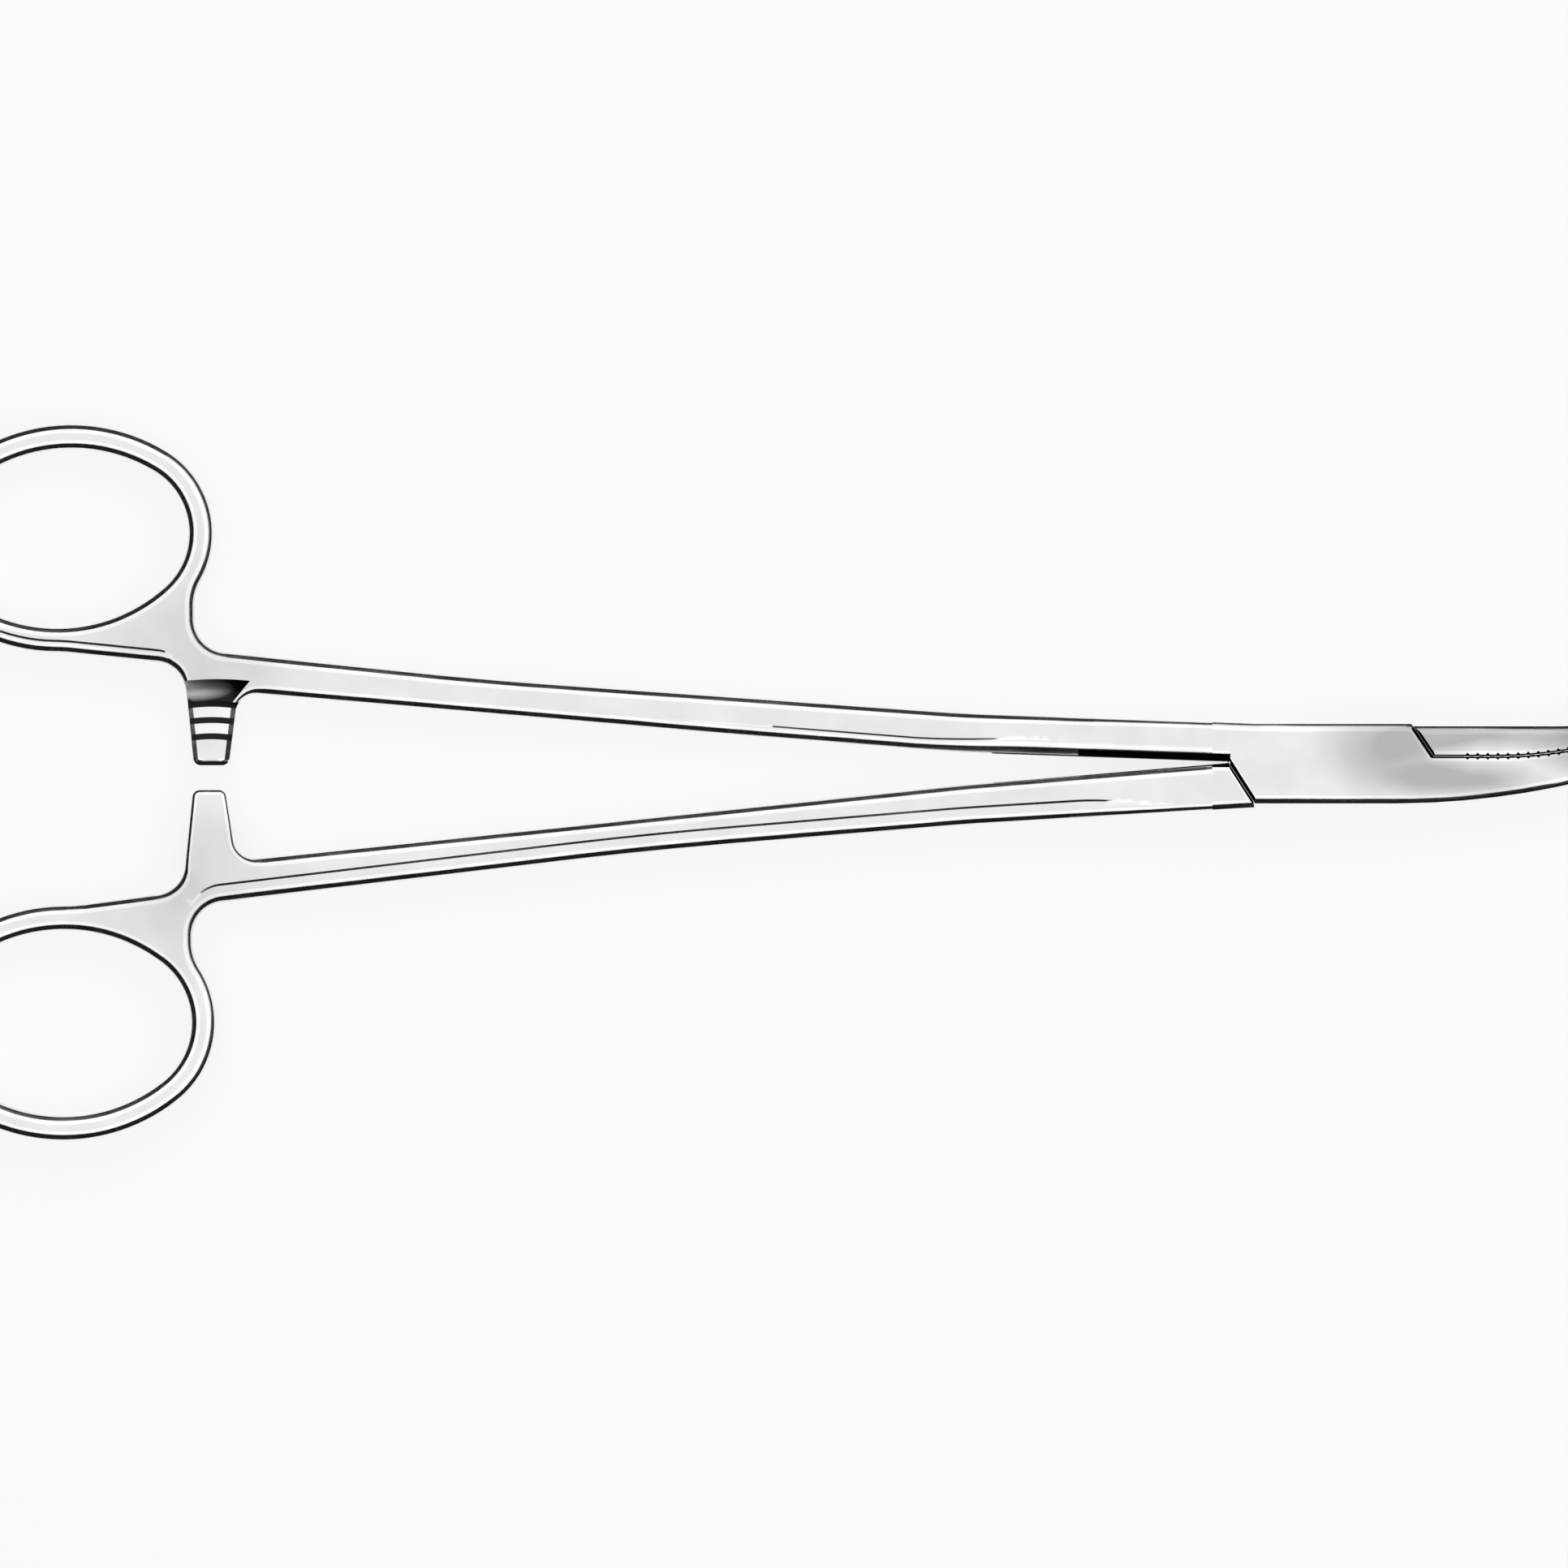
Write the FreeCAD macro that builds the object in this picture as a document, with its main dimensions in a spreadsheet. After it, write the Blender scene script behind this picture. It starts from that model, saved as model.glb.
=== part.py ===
import FreeCAD, Part
import math
import os
import Sketcher

# Box-lock needle holder: two forged halves that cross in a box lock, and the pin that joins them.
# X runs from the rings to the jaw tips, Y lies across the rings, Z is the pivot axis.
# The origin is on the pivot axis, in the underside of the box lock.
# Each half is drawn about its own mid plane and then lifted by half the box's thickness.

os.makedirs("parts", exist_ok=True)
doc = FreeCAD.newDocument("needle_holder")

SIZES = [
    # Box lock
    ("box_thickness", 6.6, "box lock, face to face"),
    ("box_half_width", 4.7, "pivot axis to either long edge of the box"),
    ("rear_inner_x", -12.1, "rear diagonal, end at the crotch"),
    ("rear_inner_y", 0.25, "height of that end"),
    ("rear_outer_x", -8.9, "rear diagonal, end at the lower edge"),
    ("front_outer_x", 9.5, "front diagonal, end at the upper edge"),
    ("front_inner_x", 12.1, "front diagonal, end at the bite line"),
    ("shoulder_gap", 0.12, "along X, between each shoulder and the box's diagonal edge"),
    # Tongue of the inner half, and the window that it passes through
    ("tongue_thickness", 2.5, "tongue, face to face"),
    ("tongue_gap", 0.06, "each side, between tongue and box wall"),
    ("tongue_inset", 0.28, "tongue's edges inside the box's long edges"),
    ("flank_angle", 17.0, "tongue's upper flank to the X axis"),
    ("lower_flank_angle", 20.5, "tongue's lower flank to the X axis"),
    ("flank_gap", 0.08, "between flank and window end"),
    ("opening_angle", 40.0, "handles from shut to the stop"),
    # Pivot pin
    ("pin_diameter", 3.2, "pin's shank"),
    ("pin_head_diameter", 3.9, "peened end, in its countersink"),
    ("pin_head_depth", 0.5, "depth of the countersink"),
    ("pin_gap", 0.03, "radial, between pin and tongue"),
    # Jaws
    ("bite_y", 0.88, "height of the bite line at the box"),
    ("bite_gap", 0.04, "between the lands of the shut jaws"),
    ("bite_bend_x", 30.0, "where the bite line's straight run and tip run would meet"),
    ("bite_radius", 49.0, "bend of the bite line, in the plane of the rings"),
    ("tip_x", 42.6, "end of the bite line"),
    ("tip_y", 6.4, "height of that end"),
    ("lower_jaw_bend_x", 18.46, "first bend of the lower jaw's back"),
    ("lower_jaw_radius", 96.0, "radius of that bend"),
    ("lower_tip_bend_x", 36.3, "second bend of the lower jaw's back"),
    ("lower_tip_bend_y", -0.58, "height of the second bend"),
    ("lower_tip_radius", 26.0, "radius of the second bend"),
    ("lower_nose_x", 43.4, "lower jaw's nose"),
    ("lower_nose_y", 4.25, "height of the nose"),
    ("upper_jaw_bend_x", 33.2, "bend of the upper jaw's back"),
    ("upper_jaw_radius", 32.0, "radius of that bend"),
    ("upper_nose_x", 41.9, "upper jaw's nose"),
    ("upper_nose_y", 7.95, "height of the nose"),
    ("nose_radius", 1.35, "rounding of each nose"),
    ("jaw_tip_thickness", 3.4, "jaws, face to face at the tip"),
    ("jaw_taper_x", 8.0, "where the jaws' taper in thickness starts"),
    # Serration
    ("serration_start_x", 16.0, "first groove across the jaws"),
    ("serration_pitch", 1.2, "groove to groove"),
    ("serration_width", 0.86, "groove's mouth"),
    ("serration_depth", 0.42, "groove's depth"),
    # Handles
    ("handle_thickness", 4.2, "rings and shanks, face to face"),
    ("flare_start_x", -44.0, "where the shanks begin to thicken"),
    ("kink_x", -43.4, "front bend of the shanks"),
    ("flare_end_x", -14.0, "where the shanks reach the box's thickness"),
    ("edge_round", 1.0, "rounding of the handles' edges"),
    ("box_edge_round", 0.5, "rounding of the box's long edges and the jaws' backs"),
    # Rings
    ("ring_band", 2.9, "width of the ring's band"),
    ("opening_bevel", 0.8, "bevel of the openings' edges"),
    ("neck_blend", 6.0, "blend of each ring into its neck"),
    ("web_blend", 25.0, "blend of each ring into its web"),
    ("upper_ring_front_x", -134.96, "upper opening, front end of its long axis"),
    ("upper_ring_near_y", 16.1, "upper opening, side next to the shank"),
    ("upper_ring_length", 29.4, "upper opening, long axis"),
    ("upper_ring_width", 21.1, "upper opening, short axis"),
    ("upper_ring_end_radius", 8.5, "upper opening, its two end arcs"),
    ("upper_ring_tilt", 5.6, "upper opening, long axis to the X axis"),
    ("lower_ring_front_x", -134.71, "lower opening, front end of its long axis"),
    ("lower_ring_near_y", -19.66, "lower opening, side next to the shank"),
    ("lower_ring_length", 30.1, "lower opening, long axis"),
    ("lower_ring_width", 22.0, "lower opening, short axis"),
    ("lower_ring_end_radius", 8.9, "lower opening, its two end arcs"),
    ("lower_ring_tilt", 0.5, "lower opening, long axis to the X axis"),
    # Upper shank, from neck to box
    ("upper_neck_x", -134.35, "upper neck's free side"),
    ("upper_neck_y", 13.5, "where the neck's side meets the shank's outer edge"),
    ("neck_radius", 4.0, "bend from neck to shank"),
    ("upper_rear_bend_x", -100.0, "outer edge, rear bend"),
    ("upper_rear_bend_y", 10.0, "height of that bend"),
    ("upper_front_bend_y", 6.0, "outer edge's height at the front bend"),
    ("upper_inner_bend_x", -72.0, "inner edge, rear bend"),
    ("upper_inner_bend_y", 3.55, "height of that bend"),
    ("upper_crotch_y", 1.3, "inner edge's height at the front bend"),
    # Lower shank, from neck to box
    ("lower_neck_x", -134.6, "lower neck's free side"),
    ("lower_neck_y", -16.75, "where the neck's side meets the shank's outer edge"),
    ("lower_rear_bend_x", -80.5, "outer edge, rear bend"),
    ("lower_rear_bend_y", -10.35, "height of that bend"),
    ("lower_front_bend_y", -7.25, "outer edge's height at the front bend"),
    ("shank_proud", 0.45, "lower shank's outer edge outside the box's edge"),
    ("lower_crotch_y", -2.5, "inner edge's height at the front bend"),
    ("crotch_gap", 0.18, "between the shanks' inner edges at the box"),
    ("shank_bow_radius", 600.0, "bends of the shanks"),
    # Ratchet arms
    ("arm_corner_radius", 0.9, "corners at the arms' ends"),
    ("arm_root_radius", 2.4, "arms into the shanks' inner edges"),
    ("web_radius", 3.8, "arms into the rings' webs"),
    ("upper_arm_root_x", -129.2, "upper arm, front side at the shank"),
    ("upper_arm_root_y", 8.45, "height there"),
    ("upper_arm_front_x", -130.3, "upper arm, front corner"),
    ("upper_arm_rear_x", -134.4, "upper arm, rear corner"),
    ("upper_arm_end_y", -0.19, "upper arm's end"),
    ("upper_web_x", -135.6, "upper arm, rear side at the web"),
    ("upper_web_y", 11.75, "height there"),
    ("upper_web_start_x", -154.0, "where the upper web leaves the ring"),
    ("upper_web_start_y", 13.57, "height there"),
    ("lower_arm_root_x", -129.3, "lower arm, front side at the shank"),
    ("lower_arm_root_y", -11.45, "height there"),
    ("lower_arm_front_x", -130.6, "lower arm, front corner"),
    ("lower_arm_rear_x", -134.5, "lower arm, rear corner"),
    ("lower_arm_end_y", -3.07, "lower arm's end"),
    ("lower_web_x", -135.7, "lower arm, rear side at the web"),
    ("lower_web_y", -15.1, "height there"),
    ("lower_web_start_x", -154.0, "where the lower web leaves the ring"),
    ("lower_web_start_y", -17.45, "height there"),
    # Ratchet teeth
    ("tooth_reach", 7.2, "arm's end to the first tooth's steep face"),
    ("tooth_pitch", 1.92, "steep face to steep face"),
    ("tooth_height", 0.6, "root to crest"),
    ("tooth_count", 3, "teeth on either arm"),
    ("tooth_overlap", 0.3, "crest past the mid plane"),
    ("ramp_length", 3.4, "first steep face to the ramp's top at the handle's face"),
    ("ramp_radius", 2.2, "ramp into the tooth level"),
    ("ratchet_side_x", -128.5, "front wall of the milled ramp"),
    ("ratchet_width", 9.0, "ramp and teeth along X"),
]

sheet = doc.addObject("Spreadsheet::Sheet", "Size")
for row, (alias, value, note) in enumerate(SIZES, start=1):
    sheet.set(f"A{row}", note)
    sheet.set(f"B{row}", str(value))
    sheet.setAlias(f"B{row}", alias)
doc.recompute()


def measure(expression):
    """Return the number that an expression over the sheet's sizes gives."""
    return float(sheet.evalExpression(str(expression)))


def bind_point(sketch, geometry, position, x, y):
    """Hold a point of the sketch at the two expressions, counted from the sketch's origin."""
    for kind, axis, expression in (("DistanceX", -2, x), ("DistanceY", -1, y)):
        value = measure(expression)
        if value == 0:
            sketch.addConstraint(Sketcher.Constraint("PointOnObject", geometry, position, axis))
            continue
        index = sketch.addConstraint(Sketcher.Constraint(kind, -1, 1, geometry, position, value))
        sketch.setExpression(f"Constraints[{index}]", str(expression))


def outline(sketch, corners):
    """Draw a closed outline from its corners, each an (x, y) or an (x, y, radius) of expressions.

    Straight runs join the corners. A corner with a radius gets an arc tangent to both runs.
    """
    count = len(corners)
    spots = [FreeCAD.Vector(measure(c[0]), measure(c[1]), 0) for c in corners]
    ways = [(spots[(i + 1) % count] - spots[i]).normalize() for i in range(count)]
    radii = [measure(c[2]) if len(c) > 2 else 0 for c in corners]
    turns = [ways[i - 1].cross(ways[i]).z for i in range(count)]
    cuts = [r * math.tan(ways[i - 1].getAngle(ways[i]) / 2) for i, r in enumerate(radii)]
    runs = []
    for i in range(count):
        start = spots[i] + ways[i] * cuts[i]
        end = spots[(i + 1) % count] - ways[i] * cuts[(i + 1) % count]
        runs.append(sketch.addGeometry(Part.LineSegment(start, end)))
    for i, corner in enumerate(corners):
        if not radii[i]:
            sketch.addConstraint(Sketcher.Constraint("Coincident", runs[i - 1], 2, runs[i], 1))
            bind_point(sketch, runs[i], 1, corner[0], corner[1])
            continue
        left = turns[i] > 0
        enter = spots[i] - ways[i - 1] * cuts[i]
        leave = spots[i] + ways[i] * cuts[i]
        inward = FreeCAD.Vector(-ways[i].y, ways[i].x, 0) * (1 if left else -1)
        centre = leave + inward * radii[i]
        first, last = (enter, leave) if left else (leave, enter)
        angles = [math.atan2(p.y - centre.y, p.x - centre.x) for p in (first, last)]
        circle = Part.Circle(centre, FreeCAD.Vector(0, 0, 1), radii[i])
        arc = sketch.addGeometry(Part.ArcOfCircle(circle, *angles))
        spot = sketch.addGeometry(Part.Point(spots[i]), True)
        near, far = (1, 2) if left else (2, 1)
        sketch.addConstraint(Sketcher.Constraint("Tangent", runs[i - 1], 2, arc, near))
        sketch.addConstraint(Sketcher.Constraint("Tangent", arc, far, runs[i], 1))
        sketch.addConstraint(Sketcher.Constraint("PointOnObject", spot, 1, runs[i - 1]))
        sketch.addConstraint(Sketcher.Constraint("PointOnObject", spot, 1, runs[i]))
        index = sketch.addConstraint(Sketcher.Constraint("Radius", arc, radii[i]))
        sketch.setExpression(f"Constraints[{index}]", str(corner[2]))
        bind_point(sketch, spot, 1, corner[0], corner[1])


def side_arc(length, width, end_radius):
    """Return the radius of an oval's side arcs, which touch its end arcs."""
    reach = f"(({length}) / 2 - ({end_radius}))"
    half = f"(({width}) / 2)"
    return f"({reach} ^ 2 + {half} ^ 2 - ({end_radius}) ^ 2) / (2 * ({half} - ({end_radius})))"


def oval(sketch, x, y, length, width, end_radius, tilt):
    """Draw an oval of four tangent arcs from expressions for its centre, axes, end arcs and tilt.

    The two end arcs and the two side arcs lie symmetric about the centre.
    """
    reach = f"(({length}) / 2 - ({end_radius}))"
    side_radius = side_arc(length, width, end_radius)
    centre = FreeCAD.Vector(measure(x), measure(y), 0)
    lean = math.radians(measure(tilt))
    along = FreeCAD.Vector(math.cos(lean), math.sin(lean), 0) * measure(reach)
    across = FreeCAD.Vector(-math.sin(lean), math.cos(lean), 0) * measure(f"{side_radius} - ({width}) / 2")
    turn = math.atan2(across.Length, along.Length)
    arcs = []
    for way, radius, middle, sweep in (
        (along, end_radius, 0, turn),
        (-across, side_radius, math.pi / 2, math.pi / 2 - turn),
        (-along, end_radius, math.pi, turn),
        (across, side_radius, -math.pi / 2, math.pi / 2 - turn),
    ):
        circle = Part.Circle(centre + way, FreeCAD.Vector(0, 0, 1), measure(radius))
        arc = Part.ArcOfCircle(circle, lean + middle - sweep, lean + middle + sweep)
        arcs.append(sketch.addGeometry(arc))
    spine = sketch.addGeometry(Part.LineSegment(centre - along, centre + along), True)
    middle = sketch.addGeometry(Part.Point(centre), True)
    bind_point(sketch, middle, 1, x, y)
    sketch.addConstraint([Sketcher.Constraint("Tangent", arcs[i - 1], 2, arcs[i], 1) for i in range(4)])
    sketch.addConstraint([
        Sketcher.Constraint("Coincident", spine, 1, arcs[2], 3),
        Sketcher.Constraint("Coincident", spine, 2, arcs[0], 3),
        Sketcher.Constraint("Symmetric", arcs[0], 3, arcs[2], 3, middle, 1),
        Sketcher.Constraint("Symmetric", arcs[1], 3, arcs[3], 3, middle, 1),
    ])
    for kind, item, expression, unit in (
        ("Radius", arcs[0], end_radius, ""),
        ("Radius", arcs[1], side_radius, ""),
        ("Distance", spine, f"2 * {reach}", ""),
        ("Angle", spine, tilt, " * 1 deg"),
    ):
        value = math.radians(measure(expression)) if unit else measure(expression)
        index = sketch.addConstraint(Sketcher.Constraint(kind, item, value))
        sketch.setExpression(f"Constraints[{index}]", f"({expression}){unit}")


def origin_plane(body, role):
    """Return the plane of the body's own origin that has this role."""
    return next(f for f in body.Origin.OriginFeatures if f.Role == role)


def new_sketch(body, name, role="XY_Plane", offset=None):
    """Add a sketch on one of the body's origin planes, shifted by three expressions."""
    sketch = body.newObject("Sketcher::SketchObject", name)
    sketch.AttachmentSupport = [(origin_plane(body, role), "")]
    sketch.MapMode = "FlatFace"
    for axis, expression in zip("xyz", offset or ()):
        sketch.setExpression(f"AttachmentOffset.Base.{axis}", str(expression))
    doc.recompute()
    return sketch


def add_pad(body, name, sketch, length):
    """Pad the sketch by this expression, half of it to either side of its plane."""
    pad = body.newObject("PartDesign::Pad", name)
    pad.Profile = sketch
    pad.SideType = "Symmetric"
    pad.setExpression("Length", length)
    doc.recompute()
    return pad


def add_pocket(body, name, sketch, length, both_ways=True, reverse=False):
    """Cut the sketch out of the body by this expression, and check that it removes something."""
    before = body.Shape.Volume
    pocket = body.newObject("PartDesign::Pocket", name)
    pocket.Profile = sketch
    pocket.SideType = "Symmetric" if both_ways else "One side"
    pocket.Reversed = reverse
    pocket.setExpression("Length", length)
    doc.recompute()
    check_cut(body, name, before)
    return pocket


def check_cut(body, name, before):
    """Stop if the body's last feature has taken nothing away."""
    if body.Shape.Volume > before - 0.001:
        raise RuntimeError(f"{name} removes nothing")


def thin_handle(body):
    """Thin the blank from the box back to the rings, alike on both faces, with one long curve."""
    sketch = new_sketch(body, "HandleSide", "XZ_Plane")
    rear_x = "Size.upper_ring_front_x - 1.5 * Size.upper_ring_length"
    start_x, end_x = measure("Size.flare_start_x"), measure("Size.flare_end_x")
    for sign in (1, -1):
        low = sign * measure("Size.handle_thickness / 2")
        high = sign * measure("Size.box_thickness / 2")
        clear = f"{sign} * (Size.box_thickness / 2 + 2)"
        rise = abs(high - low)
        radius = ((end_x - start_x) ** 2 + rise ** 2) / (2 * rise)
        centre = FreeCAD.Vector(start_x, low + sign * radius, 0)
        spots = [
            FreeCAD.Vector(end_x, high, 0),
            FreeCAD.Vector(end_x, measure(clear), 0),
            FreeCAD.Vector(measure(rear_x), measure(clear), 0),
            FreeCAD.Vector(measure(rear_x), low, 0),
            FreeCAD.Vector(start_x, low, 0),
        ]
        lines = [sketch.addGeometry(Part.LineSegment(a, b)) for a, b in zip(spots, spots[1:])]
        ends = [spots[-1], spots[0]] if sign > 0 else [spots[0], spots[-1]]
        angles = [math.atan2(p.y - centre.y, p.x - centre.x) for p in ends]
        circle = Part.Circle(centre, FreeCAD.Vector(0, 0, 1), radius)
        arc = sketch.addGeometry(Part.ArcOfCircle(circle, *angles))
        near, far = (1, 2) if sign > 0 else (2, 1)
        for a, b in zip(lines, lines[1:]):
            sketch.addConstraint(Sketcher.Constraint("Coincident", a, 2, b, 1))
        sketch.addConstraint(Sketcher.Constraint("Tangent", lines[-1], 2, arc, near))
        sketch.addConstraint(Sketcher.Constraint("Coincident", arc, far, lines[0], 1))
        bind_point(sketch, lines[0], 1, "Size.flare_end_x", f"{sign} * Size.box_thickness / 2")
        bind_point(sketch, lines[1], 1, "Size.flare_end_x", clear)
        bind_point(sketch, lines[2], 1, rear_x, clear)
        bind_point(sketch, lines[3], 1, rear_x, f"{sign} * Size.handle_thickness / 2")
        bind_point(sketch, lines[3], 2, "Size.flare_start_x", f"{sign} * Size.handle_thickness / 2")
    add_pocket(body, "HandleThinning", sketch, "Size.ring_band * 60")


def thin_jaw(body):
    """Taper the jaw in thickness from the box to its tip, alike on both faces."""
    front_x = "Size.lower_nose_x + 2"
    sketch = new_sketch(body, "JawSide", "XZ_Plane")
    for sign in (1, -1):
        outline(sketch, [
            ("Size.jaw_taper_x", f"{sign} * Size.box_thickness / 2"),
            (front_x, f"{sign} * Size.jaw_tip_thickness / 2"),
            (front_x, f"{sign} * (Size.box_thickness / 2 + 2)"),
            ("Size.jaw_taper_x", f"{sign} * (Size.box_thickness / 2 + 2)"),
        ])
    add_pocket(body, "JawThinning", sketch, "Size.ring_band * 60")


def nearest_edge(shape, x, y):
    """Return the name of the upright edge that stands nearest to the point (x, y)."""
    spot = FreeCAD.Vector(measure(x), measure(y), 0)
    best = None
    for index, edge in enumerate(shape.Edges, start=1):
        low, high = edge.Vertexes[0].Point, edge.Vertexes[-1].Point
        run = high - low
        if abs(run.z) < 0.9 * edge.Length or run.Length < 0.001:
            continue
        away = FreeCAD.Vector(low.x, low.y, 0).distanceToPoint(spot)
        if best is None or away < best[0]:
            best = (away, f"Edge{index}")
    return best[1]


def blend(body, name, base, x, y, radius):
    """Round the upright corner of the blank that stands nearest to (x, y)."""
    fillet = body.newObject("PartDesign::Fillet", name)
    fillet.Base = (base, [nearest_edge(base.Shape, x, y)])
    fillet.setExpression("Radius", radius)
    doc.recompute()
    return fillet


def open_ring(body, ring):
    """Cut the ring's opening and bevel its two rims."""
    sketch = new_sketch(body, "RingOpening")
    oval(sketch, *ring)
    opening = add_pocket(body, "Opening", sketch, "Size.box_thickness")
    radii = measure(ring[4]), measure(side_arc(*ring[2:5]))
    level = measure("Size.handle_thickness / 2")
    rims = []
    for index, edge in enumerate(opening.Shape.Edges, start=1):
        if edge.Degenerated or edge.Curve.TypeId != "Part::GeomCircle":
            continue
        if abs(abs(edge.Curve.Center.z) - level) > 0.001:
            continue
        if min(abs(edge.Curve.Radius - radius) for radius in radii) < 0.001:
            rims.append(f"Edge{index}")
    bevel = body.newObject("PartDesign::Chamfer", "OpeningBevel")
    bevel.Base = (opening, rims)
    bevel.setExpression("Size", "Size.opening_bevel")
    doc.recompute()


def forging(name, corners, ring, neck_x, side):
    """Build the blank of one half: its outline, its finger ring and its thinning.

    side is "-" where the web lies below the ring's opening and "" where it lies above.
    """
    body = doc.addObject("PartDesign::Body", f"{name}_blank")
    doc.recompute()
    ring_x, ring_y, length, width, end_radius, tilt = ring
    deep = "Size.box_thickness"
    sketch = new_sketch(body, "Outline")
    outline(sketch, corners)
    add_pad(body, "Blank", sketch, deep)
    sketch = new_sketch(body, "RingOutside")
    band = "2 * Size.ring_band"
    rim = (f"{length} + {band}", f"{width} + {band}", f"{end_radius} + Size.ring_band")
    oval(sketch, ring_x, ring_y, *rim, tilt)
    pad = add_pad(body, "Ring", sketch, deep)
    half_height = f"({width} / 2 + Size.ring_band)"
    corner_y = f"{ring_y} {side or '+'} {half_height} / 2"
    neck = blend(body, "NeckBlend", pad, neck_x, corner_y, "Size.neck_blend")
    blend(body, "WebBlend", neck, ring_x, f"{ring_y} {side or '+'} {half_height}", "Size.web_blend")
    thin_handle(body)
    thin_jaw(body)
    open_ring(body, ring)
    return body



def ring_values(name, sign):
    """Return a ring's centre, axes, end arcs and tilt; it lies above its near side where sign is "+"."""
    length, width = f"Size.{name}_ring_length", f"Size.{name}_ring_width"
    x = f"(Size.{name}_ring_front_x - {length} / 2)"
    y = f"(Size.{name}_ring_near_y {sign} {width} / 2)"
    return x, y, length, width, f"Size.{name}_ring_end_radius", f"Size.{name}_ring_tilt"


UPPER_RING = ring_values("upper", "+")
LOWER_RING = ring_values("lower", "-")

BOX_HALF_OUTLINE = [
    ("Size.upper_neck_x", f"{UPPER_RING[1]} - 2"),
    ("Size.upper_neck_x", "Size.upper_neck_y", "Size.neck_radius"),
    ("Size.upper_rear_bend_x", "Size.upper_rear_bend_y", "Size.shank_bow_radius"),
    ("Size.kink_x", "Size.upper_front_bend_y"),
    ("Size.rear_outer_x", "Size.box_half_width"),
    ("Size.front_outer_x", "Size.box_half_width"),
    ("Size.front_inner_x", "Size.bite_y - Size.bite_gap / 2"),
    ("Size.bite_bend_x", "Size.bite_y - Size.bite_gap / 2", "Size.bite_radius"),
    ("Size.tip_x", "Size.tip_y - Size.bite_gap / 2"),
    ("Size.lower_nose_x", "Size.lower_nose_y", "Size.nose_radius"),
    ("Size.lower_tip_bend_x", "Size.lower_tip_bend_y", "Size.lower_tip_radius"),
    ("Size.lower_jaw_bend_x", "-Size.box_half_width", "Size.lower_jaw_radius"),
    ("Size.rear_outer_x", "-Size.box_half_width"),
    ("Size.rear_inner_x", "Size.rear_inner_y"),
    ("Size.kink_x", "Size.upper_crotch_y"),
    ("Size.upper_inner_bend_x", "Size.upper_inner_bend_y", "Size.shank_bow_radius"),
    ("Size.upper_arm_root_x", "Size.upper_arm_root_y", "Size.arm_root_radius"),
    ("Size.upper_arm_front_x", "Size.upper_arm_end_y", "Size.arm_corner_radius"),
    ("Size.upper_arm_rear_x", "Size.upper_arm_end_y", "Size.arm_corner_radius"),
    ("Size.upper_web_x", "Size.upper_web_y", "Size.web_radius"),
    ("Size.upper_web_start_x", "Size.upper_web_start_y"),
]

# A tongue's flank passes just inside the end of the diagonal that it leaves from.
TONGUE_EDGE = "(Size.box_half_width - Size.tongue_inset)"
UPPER_START = ("(Size.rear_inner_x - Size.shoulder_gap)", "(Size.rear_inner_y - Size.crotch_gap)")
LOWER_START = ("(Size.front_inner_x + Size.shoulder_gap)", "(Size.bite_y + Size.bite_gap / 2)")
UPPER_FLANK_END = f"{UPPER_START[0]} + ({TONGUE_EDGE} - {UPPER_START[1]}) / tan(Size.flank_angle)"
LOWER_FLANK_END = f"{LOWER_START[0]} - ({LOWER_START[1]} + {TONGUE_EDGE}) / tan(Size.lower_flank_angle)"


def rear_line(y):
    """Return X of the rear shoulder's line at this height."""
    run = "(Size.rear_outer_x - Size.rear_inner_x) / (Size.box_half_width + Size.rear_inner_y)"
    return f"Size.rear_inner_x - Size.shoulder_gap + (Size.rear_inner_y - ({y})) * {run}"


def front_line(y):
    """Return X of the front shoulder's line at this height."""
    run = "(Size.front_inner_x - Size.front_outer_x) / (Size.box_half_width - Size.bite_y)"
    return f"Size.front_inner_x + Size.shoulder_gap + (Size.bite_y - ({y})) * {run}"


TONGUE_HALF_OUTLINE = [
    ("Size.lower_neck_x", f"{LOWER_RING[1]} + 2"),
    ("Size.lower_neck_x", "Size.lower_neck_y", "Size.neck_radius"),
    ("Size.lower_rear_bend_x", "Size.lower_rear_bend_y", "Size.shank_bow_radius"),
    ("Size.kink_x", "Size.lower_front_bend_y"),
    (rear_line("-Size.box_half_width"), "-Size.box_half_width - Size.shank_proud"),
    (rear_line(f"-{TONGUE_EDGE}"), f"-{TONGUE_EDGE}"),
    (LOWER_FLANK_END, f"-{TONGUE_EDGE}"),
    LOWER_START,
    ("Size.bite_bend_x", LOWER_START[1], "Size.bite_radius"),
    ("Size.tip_x", "Size.tip_y + Size.bite_gap / 2"),
    ("Size.upper_nose_x", "Size.upper_nose_y", "Size.nose_radius"),
    ("Size.upper_jaw_bend_x", TONGUE_EDGE, "Size.upper_jaw_radius"),
    (UPPER_FLANK_END, TONGUE_EDGE),
    UPPER_START,
    ("Size.kink_x", "Size.lower_crotch_y"),
    ("Size.lower_arm_root_x", "Size.lower_arm_root_y", "Size.arm_root_radius"),
    ("Size.lower_arm_front_x", "Size.lower_arm_end_y", "Size.arm_corner_radius"),
    ("Size.lower_arm_rear_x", "Size.lower_arm_end_y", "Size.arm_corner_radius"),
    ("Size.lower_web_x", "Size.lower_web_y", "Size.web_radius"),
    ("Size.lower_web_start_x", "Size.lower_web_start_y"),
]


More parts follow.
